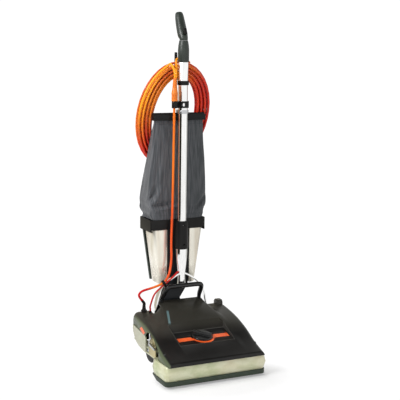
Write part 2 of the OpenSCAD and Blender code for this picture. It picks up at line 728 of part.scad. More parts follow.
module fan_housing() {
    r = fan_case_d / 2;
    x0 = fan_x[0];
    x1 = fan_x[1];
    piece(black) difference() {
        union() {
            at_motor() rotate_extrude($fn = 64) polygon([[21, x0 - 2], [r - 6, x0 - 2], [r, x0 + 4], [r, x1], [r - 6, x1 + 4],
                [30, x1 + 4], [30, can_x[0] - fit], [shaft_d / 2 + 3, can_x[0] - fit], [shaft_d / 2 + 3, x1 + 1],
                [r - 7, x1 + 1], [r - 3, x1 - 3], [r - 3, x0 + 5], [r - 8, x0 + 1], [21, x0 + 1]]);
            // outlet throat, open on top under the exhaust elbow
            difference() {
                box([x0 + 4, x1], [throat_y, motor_y + 44], [motor_z + 6, elbow_low - fit]);
                at_motor() cylinder(r = r - 3, h = 300, center = true);
            }
        }
        box([x0 + 7, x1 - 3], [throat_y + 3, motor_y + 41], [motor_z + 9, elbow_low + 5]);
    }
}

module intake_duct() {
    x1 = fan_x[0] - 2 - fit;
    piece(black) difference() {
        union() {
            intake_leg(0);
            intake_turn(0);
            translate([x1 - 3, motor_y, motor_z]) rotate([0, 90, 0]) cylinder(r = 26, h = 3);
        }
        intake_leg(2.5);
        intake_turn(2.5);
    }
}

// Lower leg of the intake, from the nozzle's top; g is the wall to leave
module intake_leg(g) {
    w = 12 - g;
    hull() {
        box([intake_x - w, intake_x + w], [nozzle_depth - 24 + g, nozzle_depth - 8 - g],
            [nozzle_high + fit - 2 * sign(g), nozzle_high + 6]);
        box([intake_x - w, intake_x + w], [motor_y - 52 + g, motor_y - 40 - g], [motor_z - 26 + g, motor_z - 4 - g]);
    }
}

// Upper end of the intake, turned into the fan's inlet
module intake_turn(g) {
    w = 12 - g;
    hull() {
        box([intake_x - w, intake_x + w], [motor_y - 52 + g, motor_y - 40 - g], [motor_z - 26 + g, motor_z - 4 - g]);
        translate([intake_x - w, motor_y, motor_z]) rotate([0, 90, 0])
            cylinder(r = 20 - g, h = fan_x[0] - 2 - fit - intake_x + w + sign(g), $fn = 32);
    }
}

module exhaust_elbow() {
    top = elbow_low + 14;
    right = foot_x + drum_half - 2;
    left = foot_x - drum_half + 2;
    piece(black) difference() {
        union() {
            box([fan_x[0] + 4, right], [throat_y, motor_y + 44], [elbow_low, top]);
            box([left, right], [throat_y, tube_y - 12], [elbow_low, elbow_low + 25]);
        }
        rod_x(2 * drum_r + 2 * fit, left - 9, right + 9, tube_y, pivot_z);
        box([fan_x[0] + 7, right - 3], [throat_y + 3, motor_y + 41], [elbow_low + 3, top - 3]);
        box([left + 3, right - 3], [throat_y + 3, tube_y - 10], [elbow_low + 3, elbow_low + 22]);
        box([fan_x[0] + 7, fan_x[1] - 3], [throat_y + 3, motor_y + 41], [elbow_low - 1, elbow_low + 5]);
    }
}

module drive_belt() {
    x = drive_x();
    grow = 0.4;
    piece(rubber) side_view(x - belt_w / 2, x + belt_w / 2) difference() {
        belt_loop(grow + belt_t);
        belt_loop(grow);
    }
}

module belt_loop(grow) {
    hull() {
        translate([motor_y, motor_z]) circle(r = pulley_d / 2 + grow, $fn = 32);
        translate([roll_y, roll_z]) circle(r = roll_d / 2 - 3 + grow, $fn = 32);
    }
}

module brush_roll() {
    reach = half - 20;
    x = drive_x();
    r = roll_d / 2;
    piece(steel) translate([0, roll_y, roll_z]) rotate([0, 90, 0]) {
        rotate_extrude() polygon([[0, -reach - 5], [5, -reach - 5], [5, -reach], [r, -reach], [r, x - belt_w / 2 - 1],
            [r - 3, x - belt_w / 2 - 1], [r - 3, x + belt_w / 2 + 1], [r, x + belt_w / 2 + 1], [r, reach], [5, reach],
            [5, reach + 5], [0, reach + 5]]);
    }
}

module bristles() {
    last = drive_x() - belt_w / 2 - 8;
    gap = 0.27 * slot_step;
    h = bristle_d / 2 - roll_d / 2 - 0.25;
    piece(black) translate([0, roll_y, roll_z]) rotate([0, 90, 0])
        for (row = [0, 180]) for (k = [-3:3]) for (step = [-1:1]) {
            x = k * slot_step + step * gap;
            if (x < last) rotate([0, 0, row + 80 * abs(x) / half]) translate([roll_d / 2 + 0.25, 0, x])
                rotate([0, 90, 0]) cylinder(d1 = tuft_d - 1, d2 = tuft_d, h = h, $fn = 6);
        }
}

module brush_caps() {
    piece(black) for (sx = [-1, 1]) scale([sx, 1, 1]) difference() {
        union() {
            rod_x(40, half - 19.7, half - 13.3, roll_y, roll_z);
            box([half - 19.7, half - 13.3], [roll_y - 11, roll_y + 11], [roll_z, roll_z + chamber_r - 2.2]);
        }
        rod_x(10 + 2 * run, half - 30, half, roll_y, roll_z);
    }
}

// ---------- handle pivot and release ----------
module pivot_brackets() {
    x1 = arm_x - arm_t / 2 - fit;
    piece(steel) for (sx = [-1, 1]) scale([sx, 1, 1]) {
        side_view(x1 - 4.5, x1) difference() {
            union() {
                translate([tube_y, pivot_z]) circle(d = 28);
                translate([tube_y - 14, pan_low + pan_t + fit]) square([28, pivot_z - pan_low - pan_t - fit]);
            }
            translate([tube_y, pivot_z]) circle(d = pivot_d + 0.1);
        }
        box([x1 - 20, x1 - 4], [tube_y - 14, hood_depth - 10], [pan_low + pan_t + fit, pan_low + pan_t + fit + 4]);
    }
}

module pivot_pins() {
    x0 = arm_x - arm_t / 2 - 8;
    piece(steel) for (sx = [-1, 1]) scale([sx, 1, 1]) {
        rod_x(pivot_d, x0, arm_x + arm_t / 2 + 1, tube_y, pivot_z);
        rod_x(pivot_d + 7, arm_x + arm_t / 2 + 0.5, arm_x + arm_t / 2 + 4.5, tube_y, pivot_z);
        rod_x(pivot_d + 5, x0 - 4, x0 + 0.5, tube_y, pivot_z);
    }
}

lever_y = 142;
lever_z = 128;

module release_bracket() {
    x = -half + 15;
    low = pan_low + pan_t + fit;
    y0 = nozzle_depth + fit;
    piece([0.62, 0.56, 0.34]) difference() {
        union() {
            side_view(x - 2.5, x) polygon([[y0, low], [y0, 108], [120, 119], [128, 125], [135, 130], [142, 133],
                [148, 131], [154, 122], [164, 100], [166, low]]);
            rod_x(14, x - 5.2, x - 1, lever_y, lever_z);
            box([x - 1, x + 12], [y0, 160], [low, low + 3]);
        }
        rod_x(8 + 2 * run, x - 20, x + 20, lever_y, lever_z);
        rod_x(7, x - 20, x + 20, 124, 106);
    }
}

module release_lever() {
    x = -half + 9;
    tip = tube_y - 13 - 0.6;
    arm = spline([[lever_y, lever_z], [149, 118], [150, 108], [144, 104]], 3);
    piece(steel) {
        rod_x(8, x - 4, -118.5, lever_y, lever_z);
        rod_x(12, x - 3.7, x - 0.3, lever_y, lever_z);
        side_view(x - 3.3, x - 0.6) polygon(strap_outline(arm, 8.6));
        // bright foot bar
        side_view(x - 7, x - 1) polygon([[101, 98], [99, 101], [102, 104.5], [143, 111], [148, 109], [146, 103]]);
        // pawl arm towards the fork's left eye
        side_view(-123, -118) polygon([[136, 123], [136, 132], [tip - 12, pivot_z + 4.5], [tip - 1, pivot_z + 4.5],
            [tip - 1, pivot_z - 4.5], [tip - 12, pivot_z - 5]]);
        box([-120, -arm_x + arm_t / 2], [tip - 8, tip], [pivot_z - 4, pivot_z + 4]);
    }
}

module cord_gland() {
    piece(black) {
        translate([gland_x, gland_y, hood_z(gland_x, gland_y)]) {
            translate([0, 0, fit + 1]) cylinder(d1 = 22, d2 = 18, h = 4);
            translate([0, 0, -8]) cylinder(d = 14, h = 10);
            translate([0, 0, 4]) cylinder(d1 = 15, d2 = 11.5, h = gland_h - 4);
        }
        on_hood(switch_end[0], switch_end[1]) translate([0, 0, 2 * fit]) cylinder(d1 = 11, d2 = 9, h = 4);
    }
}

// ---------- handle ----------
module handle_fork() {
    neck = [[0, 250], [15.5, 250], [15, 262], [13.8, 285], [13.5, 296], [14.6, 308], [17, 330], [18.8, 350],
        [20, 368], [20, fork_top], [tube_d / 2 + 0.1, fork_top], [tube_d / 2 + 0.1, fork_top - tube_seat],
        [0, fork_top - tube_seat]];
    arm = spline([[10, 298], [34, 285], [60, 264], [77, 243], [86, 222], [arm_x - 3.5, 199], [arm_x, 175],
        [arm_x, pivot_z]], 3);
    piece(chrome) {
        difference() {
            union() {
                translate([0, tube_y, 0]) rotate_extrude() polygon(neck);
                for (sx = [-1, 1]) scale([sx, 1, 1]) {
                    translate([0, tube_y + arm_w / 2, 0]) rotate([90, 0, 0]) linear_extrude(arm_w)
                        polygon(strap_outline(arm, arm_t));
                    rod_x(26, arm_x - arm_t / 2, arm_x + arm_t / 2, tube_y, pivot_z);
                }
            }
            rod_x(pivot_d + 2 * run, -arm_x - 10, arm_x + 10, tube_y, pivot_z);
            // detent for the release pawl
            box([-arm_x - 10, -arm_x + 10], [tube_y - 20, tube_y - 11], [pivot_z - 5, pivot_z + 5]);
        }
        // screws at the neck
        for (sx = [-1, 1]) translate([sx * 13.5, tube_y, 294]) rotate([0, sx * 90, 0]) cylinder(d = 7, h = 3);
    }
}

module handle_tube() {
    piece(chrome) translate([0, tube_y, fork_top - tube_seat + fit]) difference() {
        h = cuff_low + cuff_h - 26 - fork_top + tube_seat - fit;
        cylinder(d = tube_d, h = h);
        translate([0, 0, -1]) cylinder(d = tube_d - 2 * tube_wall, h = h + 2);
    }
}

module tube_clamp() {
    w = clamp_w / 2;
    h = clamp_high - clamp_low;
    piece(black) translate([0, 0, clamp_low]) difference() {
        union() {
            translate([0, tube_y, 0]) rotate_extrude() polygon([[0, 0], [w - 1, 0], [w, 1], [w - 1.5, h - 2], [w - 3.5, h], [0, h]]);
            box([-w + 4, w - 4], [tube_y, rim_front - fit - 1], [0, h - 2]);
            // flange on the rim, foot on the air duct
            box([-32, 32], [rim_front - fit - 4.5, rim_front - fit], [rim_low - clamp_low + 2, h - 1]);
            box([-16, 16], [rim_front - 6, duct_front() - fit], [4, 30]);
        }
        translate([0, tube_y, -1]) cylinder(d = tube_d + 0.2, h = h + 2);
        for (z = [14, h - 14]) translate([0, tube_y - 8, z]) rotate([90, 0, 0]) cylinder(d = 7, h = 40);
    }
}

module grip_cuff() {
    r = cuff_d / 2;
    piece(black) translate([0, tube_y, 0]) difference() {
        rotate_extrude() polygon([[0, cuff_low], [r - 0.5, cuff_low], [r, cuff_low + 1], [r, cuff_low + cuff_h - 30],
            [r - 1.2, cuff_low + cuff_h - 16], [r - 4, cuff_low + cuff_h], [0, cuff_low + cuff_h]]);
        translate([0, 0, cuff_low - 1]) cylinder(d = tube_d + 0.2, h = cuff_h - 25);
    }
}

gland_x = -132;
gland_y = tube_y + 8;
gland_h = 14;
switch_end = [-116, tube_y - 8];             // where the switch lead enters the hood
grip_z = cuff_low + cuff_h;
grip_path = spline([for (p = [[0, 0], [0, 0.03], [0, 0.06], [0.05, 0.12], [0.2, 0.2], [0.5, 0.46], [0.8, 0.76], [0.97, 0.95], [1, 1]])
    [0, tube_y + grip_back * p[0], grip_z + fit + (grip_h - fit) * p[1]]], 2);
grip_radius = [13.5, 13.6, 13.7, 13.8, 13.9, 14.2, 14.8, 15.6, 16.6, 16.8, 16.6, 16, 15.2, 14, 12.4, 10, 5.5];

module grip() {
    piece(black) difference() {
        skin(tube_rings(grip_path, grip_radius, 20, [1, 0, 0]));
        rocker_place() translate([0, 0, -9]) linear_extrude(30) square([11, 21], center = true);
    }
}

// Where the switch rocker pivots in the front of the grip
module rocker_place() {
    translate([0, tube_y + 4 - 15.5, grip_z + 30]) rotate([90 - 14, 0, 0]) children();
}

module switch_rocker() {
    piece(orange) rocker_place() rotate([0, -90, 0]) translate([0, 0, -5]) linear_extrude(10)
        polygon([[-6, -9], [rocker_out + 1.6, -9.5], [rocker_out, 0], [rocker_out - 1.6, 9.5], [-6, 9]]);
}

// ---------- bag side ----------
function duct_front() = tube_y + tube_d / 2 + duct_gap;

module air_duct() {
    y0 = duct_front();
    y1 = y0 + duct_depth;
    t = duct_wall;
    neck = cup_low - 7;
    piece(black) difference() {
        union() {
            rect_plate(duct_half, y0, y1, 5, neck, rim_high - 9 - neck);
            duct_foot(0, neck);
        }
        rect_plate(duct_half - t, y0 + t, y1 - t, 3, neck - 1, 400);
        duct_foot(t, neck);
        // window of the swivel drum towards the elbow
        box([foot_x - 24, foot_x + 24], [tube_y - drum_r - 5, tube_y - 10], [pivot_z - 30, pivot_z + 18]);
    }
}

// Foot of the duct, set over to the fan's side and ending in the swivel drum; g is the wall to leave
module duct_foot(g, neck) {
    y0 = duct_front() + g;
    y1 = duct_front() + duct_depth - g;
    r = 5 - g / 2;
    foot_z = pivot_z + 53;
    hull() {
        rect_plate(duct_half - g, y0, y1, r, neck - 0.5, 1, $fn = 24);
        translate([foot_x, 0, 0]) rect_plate(drum_half - g, y0, y1, r, foot_z, 1, $fn = 24);
    }
    hull() {
        translate([foot_x, 0, 0]) rect_plate(drum_half - g, y0, y1, r, foot_z, 1, $fn = 24);
        rod_x(2 * (drum_r - g), foot_x - drum_half + g, foot_x + drum_half - g, tube_y, pivot_z, $fn = 40);
    }
}

drum_half = duct_half - 4;
foot_x = -26;

rail_w = 6;                                  // width of the rails that carry the cup's flange
skirt_half = cup_top_w / 2 + 1.5 + rail_w;   // from the middle to the outside of those rails

module rim_band() {
    w = rim_w / 2;
    piece(black) difference() {
        union() {
            rect_plate(w, rim_front, rim_back, 9, rim_low, rim_high - rim_low);
            rect_plate(skirt_half, rim_front, rim_back, 9, rim_low - 9, 9 + 2.5);
        }
        // inside, with a flange for the seal
        rect_plate(w - rim_wall, rim_front + rim_wall, rim_back - rim_wall, 6, rim_low + 2.5, 60);
        rect_plate(cup_top_w / 2 - 6, rim_front + 5, rim_back - 6, 6, rim_low - 1, 10);
        box([-duct_half - fit, duct_half + fit], [rim_front + rim_wall, duct_front() + duct_depth + fit], [rim_low - 1, rim_low + 5]);
        // side rails for the cup's flange
        box([-skirt_half + rail_w, skirt_half - rail_w], [rim_front - 1, rim_back + 1], [rim_low - 20, rim_low - 5]);
        box([-skirt_half + rim_wall, skirt_half - rim_wall], [rim_front - 1, rim_back + 1], [rim_low - 6, rim_low]);
    }
}

module cup_seal() {
    piece(rubber) translate([0, 0, rim_low - 2.7]) linear_extrude(2.4) difference() {
        rounded(cup_top_w / 2 - 1, rim_front + 1, rim_back - 2, 9);
        rounded(cup_top_w / 2 - 6, rim_front + 5, rim_back - 6, 6);
        translate([-duct_half - 2, rim_front - 5]) square([2 * duct_half + 4, duct_front() + duct_depth + 3 - rim_front + 5]);
    }
}

cup_high = rim_low - 3;

module cup_form(g, low) {
    hull() {
        slab(cup_low_w / 2 - g, rim_front + 0.5 + g, rim_back - cup_back_t - g, 20 - g, low, 1);
        slab(cup_top_w / 2 - g, rim_front + 0.5 + g, rim_back - cup_back_t - g, 22 - g, cup_high - 1 + g, 1);
    }
}

module dust_cup() {
    way = duct_half + 1.5;
    deep = duct_front() + duct_depth + 3;
    ear_y = rim_back - 26;
    piece(silver) difference() {
        union() {
            cup_form(0, cup_low);
            rect_plate(skirt_half - rim_wall - 0.6, rim_front + 26, rim_back - cup_back_t - 1, 4, cup_high - 2.4, 2.4);
            for (sx = [-1, 1]) side_view(sx * 24 - 3, sx * 24 + 3)
                translate([ear_y - 6, cup_low - 12]) square([12, 14]);
        }
        difference() {
            cup_form(cup_wall, cup_low + cup_wall);
            box([-way - cup_wall, way + cup_wall], [rim_front - 5, deep + cup_wall], [0, 600]);
        }
        box([-way, way], [rim_front - 5, deep], [0, 600]);
        rod_x(5 + 2 * run, -40, 40, ear_y, cup_low - 7);
    }
}

module cup_back() {
    y0 = rim_back - cup_back_t + fit;
    piece(black) difference() {
        back_form(0);
        intersection() {
            back_form(3);
            box([-200, 200], [0, rim_back - 13], [0, 600]);
        }
        box([-200, 200], [0, y0], [0, 600]);
        // finger pull
        box([-34, 34], [rim_back - 9, rim_back + 5], [cup_low + 70, cup_low + 100]);
    }
}

module back_form(g) {
    y0 = rim_back - cup_back_t - 12;
    hull() {
        slab(cup_low_w / 2 - g, y0, rim_back - 1 - g, 9 - g, cup_low + g, 1);
        slab(cup_top_w / 2 - g, y0, rim_back - 1 - g, 9 - g, cup_high - 4 - g, 1);
    }
}

module cup_latch() {
    y = rim_back - 26;
    z = cup_low - 7;
    piece(steel) {
        rod_x(5, -26.5, 26.5, y, z);
        side_view(-20, 20) polygon([[y - 12, z + 1], [y - 12, z - 3], [y + 12, z - 5], [y + 24, z - 1], [y + 24, z + 2],
            [y + 12, z + 4], [y - 4, z + 4]]);
    }
}

// Cross section of the bag at height share t, 0 at the rim and 1 at the clip
bag_low = rim_high + fit;
function bag_half(t) = height_at(spline([[0, rim_w / 2 - 5], [0.04, rim_w / 2 - 3], [0.12, bag_w / 2 - 2],
    [0.21, bag_w / 2], [0.4, mix(bag_w, bag_top_w, 0.2) / 2], [0.7, mix(bag_w, bag_top_w, 0.62) / 2],
    [0.94, bag_top_w / 2], [1, bag_top_w / 2]], 2), t);
function bag_rear(t) = height_at(spline([[0, rim_depth - 4], [0.1, rim_depth - 4], [0.25, rim_depth - 9], [0.5, rim_depth * 0.68],
    [0.8, rim_depth * 0.32], [0.94, bag_top_depth + 6], [1, bag_top_depth + 6]], 2), t);
function bag_front(t) = mix(2, 6, min(1, t / 0.94)) - 3 * sin(180 * ease(t * 2.6));
function bag_ring(t, g) =
    let(y0 = rim_front + bag_front(t), y1 = rim_front + bag_rear(t), w = bag_half(t), d = (y1 - y0) / 2, corner = 0.32,
        sag = 1 - ease((t - 0.02) / 0.22), top = ease((t - 0.8) / 0.15))
    [for (k = [0:31])
        let(a = 360 * k / 32, c = cos(a), s = sin(a), px = sign(c) * pow(abs(c), corner), py = sign(s) * pow(abs(s), corner),
            fold = -1.5 * (1 - top) * exp(-pow(s / 0.35, 2)) * min(1, d / 30),
            crease = sag * (2.6 * sin(360 * (t * 9 + 0.1 * k)) + 1.6 * cos(a * 7)))
        [(w - g + fold + crease * (abs(c) > 0.8 ? 1 : 0.4)) * px,
         (y0 + y1) / 2 + (d - g + crease * (s > 0 ? 0.9 : 0)) * py, mix(bag_low, bag_top, t)]];

module bag() {
    shares = [0, 0.02, 0.045, 0.07, 0.1, 0.13, 0.16, 0.2, 0.26, 0.33, 0.42, 0.53, 0.65, 0.78, 0.9, 0.95, 1];
    inner = [for (t = shares) if (t > 0 && t < 0.93) t];
    piece([0.25, 0.29, 0.33]) difference() {
        skin([for (t = shares) bag_ring(t, 0)]);
        skin(concat([[for (p = bag_ring(0, bag_wall)) p - [0, 0, 3]]], [for (t = inner) bag_ring(t, bag_wall)]));
    }
}

module bag_clip() {
    y = rim_front + 6 + bag_top_depth / 2;
    low = bag_top - 12;
    piece(black) difference() {
        union() {
            side_view(-clip_w / 2, clip_w / 2) {
                translate([y - clip_depth / 2, low]) square([clip_depth, clip_h - 5]);
                translate([y, low + clip_h - 5]) circle(d = clip_depth - 8);
                translate([y - clip_depth / 2 - 2, low]) square([3, 6]);
            }
            // eye for the hanger
            box([-7, 7], [y - 3, y + 3], [low + clip_h - 6, bag_top + 23]);
        }
        // slot that grips the cloth
        box([-bag_top_w / 2 - fit, bag_top_w / 2 + fit], [y - bag_top_depth / 2 - fit, y + bag_top_depth / 2 + fit],
            [low - 5, bag_top + fit]);
        rod_x(4.2, -20, 20, y, bag_top + 18);
    }
}

module bag_hanger() {
    y = rim_front + 6 + bag_top_depth / 2;
    z = bag_top + 18;
    piece(steel) {
        difference() {
            union() {
                translate([0, tube_y, z - 6]) cylinder(d = tube_d + 5, h = 12);
                box([8, 11], [tube_y + 8, y + 4], [z - 5, z + 5]);
            }
            translate([0, tube_y, z - 7]) cylinder(d = tube_d + 0.2, h = 14);
        }
        rod_x(4, -9, 11, y, z);
    }
}

module cord_hook() {
    y0 = tube_y + tube_d / 2 + fit;
    y1 = y0 + hook_depth;
    piece(black) {
        side_view(-2.5, 6.5) polygon(concat(
            [[y0, hook_z - 28], [y0, hook_z + 34], [y0 + 4, hook_z + 34], [y0 + 4, hook_z + 3]],
            [for (a = [180:30:270]) [y0 + 7 + 3 * cos(a), hook_z + 3 + 3 * sin(a)]],
            [for (a = [270:30:360]) [y1 - 8 + 3 * cos(a), hook_z + 3 + 3 * sin(a)]],
            [[y1 - 5, hook_z + 68], [y1 - 4, hook_z + 79], [y1 - 1, hook_z + 81], [y1, hook_z + 75], [y1, hook_z + 2]],
            [for (a = [0:-20:-80]) [y1 - 8 + 8 * cos(a), hook_z - 1 + 7 * sin(a)]],
            [[y0 + 20, hook_z - 11], [y0 + 5, hook_z - 28]]));
        difference() {
            translate([0, tube_y, hook_z - 24]) cylinder(d = tube_d + 6, h = 14);
            translate([0, tube_y, hook_z - 25]) cylinder(d = tube_d + 0.2, h = 20);
        }
    }
}

lead_x = -29;
lead_y = tube_y + 5;
plug_x = -36;
plug_y = tube_y - 13;

module cord_clip() {
    z = cord_clip_z;
    eye_x = -5;
    piece(black) difference() {
        union() {
            translate([0, 0, z - 11]) linear_extrude(22) {
                translate([0, tube_y]) circle(d = tube_d + 7);
                hull() {
                    translate([lead_x, lead_y]) circle(r = 8, $fn = 32);
                    translate([plug_x, plug_y]) circle(r = 9.5, $fn = 32);
                    translate([-20, tube_y - 8]) square([5, 18]);
                }
            }
            // eye in front of the tube
            translate([eye_x, tube_y - tube_d / 2 - 1, z]) rotate([90, 0, 0]) cylinder(d = 21, h = 5);
        }
        translate([0, tube_y, z - 20]) cylinder(d = tube_d + 0.2, h = 40);
        translate([eye_x, tube_y - 8, z]) rotate([90, 0, 0]) cylinder(d = 12, h = 20);
        translate([lead_x, lead_y, z - 20]) cylinder(d = cord_d + 0.4, h = 40);
        // pocket for the plug's pins
        box([plug_x - 8, plug_x + 8], [plug_y - 4, plug_y + 4], [z - 7, z + 12]);
    }
}

// Clip on the fork's left arm: its middle on the supply lead, and the way both leads run through it
clip_at = [-72, 266, 274];
clip_tilt = 57;
clip_way = [sin(clip_tilt), 0, cos(clip_tilt)];
lead_spacing = 8.6;

module lead_clip() {
    piece(black) translate(clip_at) rotate([0, clip_tilt, 0]) linear_extrude(9, center = true) difference() {
        union() {
            circle(r = 7.5);
            translate([lead_spacing, 0]) circle(r = 5.6);
            translate([0, -4.5]) square([19, 8.2]);
        }
        circle(d = cord_d + 0.4);
        translate([lead_spacing, 0]) circle(d = 6.4);
    }
}

// ---------- cords ----------
// Points of the lead from the hood's gland to the clip on the fork
loop_points = concat([for (rise = [0.3, 8, 14]) [gland_x, gland_y, hood_z(gland_x, gland_y) + gland_h + rise]],
    [[-142, 284, 216], [-153, 279, 230], [-154, 275, 241], [-143, 271, 251], [-110, 268, 259]],
    [for (s = [-12, -6, -0.15]) clip_at + s * clip_way]);
// Points of the lead held along the tube, from the fork clip to the cord clip
held_points = concat([for (s = [0.15, 6, 12]) clip_at + s * clip_way],
    [[-50, 272, 295], [-42, 278, 310], [-36, 284, 332], [-34, 285, 356], [-35, 285, 400], [-34, 285, 450],
     [-32, 285, 520], [-31, 285, 600], [-30, 285, 700], [lead_x, 285, 800], [lead_x, 285, 850], [lead_x, 285, 882]]);
// Points of the thin lead from the neck of the fork to its bush in the hood
neck_clip = clip_at + lead_spacing * [cos(clip_tilt), 0, -sin(clip_tilt)];
switch_points = concat([[-13.4, 273.5, 303], [-18.6, 271, 302.6], [-30, 267.3, 294], [-45, 266, 283]],
    [for (s = [8, 0, -8]) neck_clip + s * clip_way],
    [[-84, 266, 254.5], [-95, 267, 245], [-106, 269, 229]],
    [for (rise = [22, 12, 5.2]) [switch_end[0], switch_end[1], hood_z(switch_end[0], switch_end[1]) + rise]]);

module lead(points, steps) {
    piece(orange) skin(tube_rings(spline(points, steps), cord_d / 2, 8, [0, 1, 0.1]));
}

module lead_loop() {
    lead(loop_points, 2);
}

module tube_lead() {
    lead(held_points, 2);
}

module switch_lead() {
    piece([0.65, 0.1, 0.06]) skin(tube_rings(spline(switch_points, 2), 3, 8, [0, 1, 0.1]));
}

coil_layers = 4;
coil_steps = 24;
coil_top = [175, 130];               // half height and half width of the outermost loop
coil_in = [131, 77];                 // half height and half width of the innermost loop
coil_mid = [-5, 828];
coil_lean = 8.5;
layer_step = cord_d + 1.1;

// One point of the coil at turn u, counted from 0
function coil_point(u) =
    let(total = coil_turns * coil_layers, layer = min(coil_layers - 1, floor(u / coil_turns)),
        share = (u - layer * coil_turns) / coil_turns, inward = layer % 2 == 0 ? share : 1 - share,
        turned = max(0, ((share - 1) * coil_turns * 2 + 0.75) / 0.55),
        climb = 1 - sqrt(1 - pow(min(1, turned), 2)), level = layer + (layer < coil_layers - 1 ? climb : 0),
        a = mix(coil_top[0], coil_in[0], inward), b = mix(coil_top[1], coil_in[1], inward), w = -360 * u - 32,
        side = b * sin(w), up = a * cos(w), x = coil_mid[0] + side * cos(coil_lean) + up * sin(coil_lean),
        z = coil_mid[1] - side * sin(coil_lean) + up * cos(coil_lean), down = coil_mid[1] + 175 - z)
    [x, tube_y + tube_d / 2 + 7 + layer_step * level + 0.12 * down + 0.00026 * down * down, z];

coil_path = [for (k = [0:coil_turns * coil_layers * coil_steps - 4]) coil_point(k / coil_steps)];
coil_ends = len(coil_path) - 1;

module cord_coil() {
    piece(orange) skin(tube_rings(coil_path, cord_d / 2, 6, [0, 1, 0]));
}

function path_length(p, i = 0) = i < len(p) - 1 ? norm(p[i + 1] - p[i]) + path_length(p, i + 1) : 0;

module cord_rise() {
    out = heading(coil_path, coil_ends);
    lead(concat([[lead_x, 285, 882.3], [lead_x, 285, 891], [-26, 287, 906], [-22, 289, 925], [-21.5, 290, 945],
        [-19.5, 291, 965], [-19.5, 292, 990], [-19.5, 294, 1003], [-15, 299, 1011], [-6, 305, 1014.5], [8, 313, 1015],
        [26, 322, 1010], [44, 328, 1001]],
        [for (s = [16, 8, 0.3]) coil_path[coil_ends] + s * out]), 2);
}

module plug_cord() {
    into = heading(coil_path, 0);
    top = cord_clip_z + 11 + fit + 75.3;
    lead(concat([for (s = [0.3, 8, 16]) coil_path[0] - s * into],
        [[-40, 296, 996], [-37, 284, 990], [-36, 272, 977]],
        [for (rise = [16, 8, 0]) [plug_x, plug_y, top + rise]]), 3);
}

module cord_plug() {
    piece(orange) translate([plug_x, plug_y, cord_clip_z + 11 + fit]) rotate_extrude()
        polygon([[0, 0], [10, 0], [11, 2], [11, 22], [8, 42], [6, 75], [0, 75]]);
}

module plug_pins() {
    piece(steel) translate([plug_x, plug_y, cord_clip_z - 5]) {
        for (sx = [-1, 1]) box([sx * 6 - 0.75, sx * 6 + 0.75], [-3, 3], [0, 16 + fit]);
    }
}

union() {
    echo(coil_length_mm = path_length(coil_path), tube_lead_mm = path_length(held_points), loop_mm = path_length(loop_points));
    echo(least_gap_in_coil_mm = min([for (i = [0:coil_ends], j = [i + 12:1:coil_ends]) norm(coil_path[i] - coil_path[j])]) - cord_d);
}

base_housing();
bottom_plate();
bumper();
hood();
hood_screws();
carry_handle();
dial_bush();
height_dial();
front_carriage();
front_axle();
front_wheel_left();
front_wheel_right();
rear_axle();
rear_wheel_left();
rear_wheel_right();
motor_housing();
motor_field();
motor_bearings();
rotor_shaft();
suction_fan();
drive_pulley();
fan_housing();
intake_duct();
exhaust_elbow();
drive_belt();
brush_roll();
bristles();
brush_caps();
pivot_brackets();
pivot_pins();
release_bracket();
release_lever();
cord_gland();
handle_fork();
handle_tube();
tube_clamp();
grip_cuff();
grip();
switch_rocker();
cord_hook();
cord_clip();
lead_clip();
air_duct();
rim_band();
cup_seal();
dust_cup();
cup_back();
cup_latch();
bag();
bag_clip();
bag_hanger();
tube_lead();
lead_loop();
switch_lead();
cord_rise();
cord_coil();
plug_cord();
cord_plug();
plug_pins();
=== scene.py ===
import json
import math

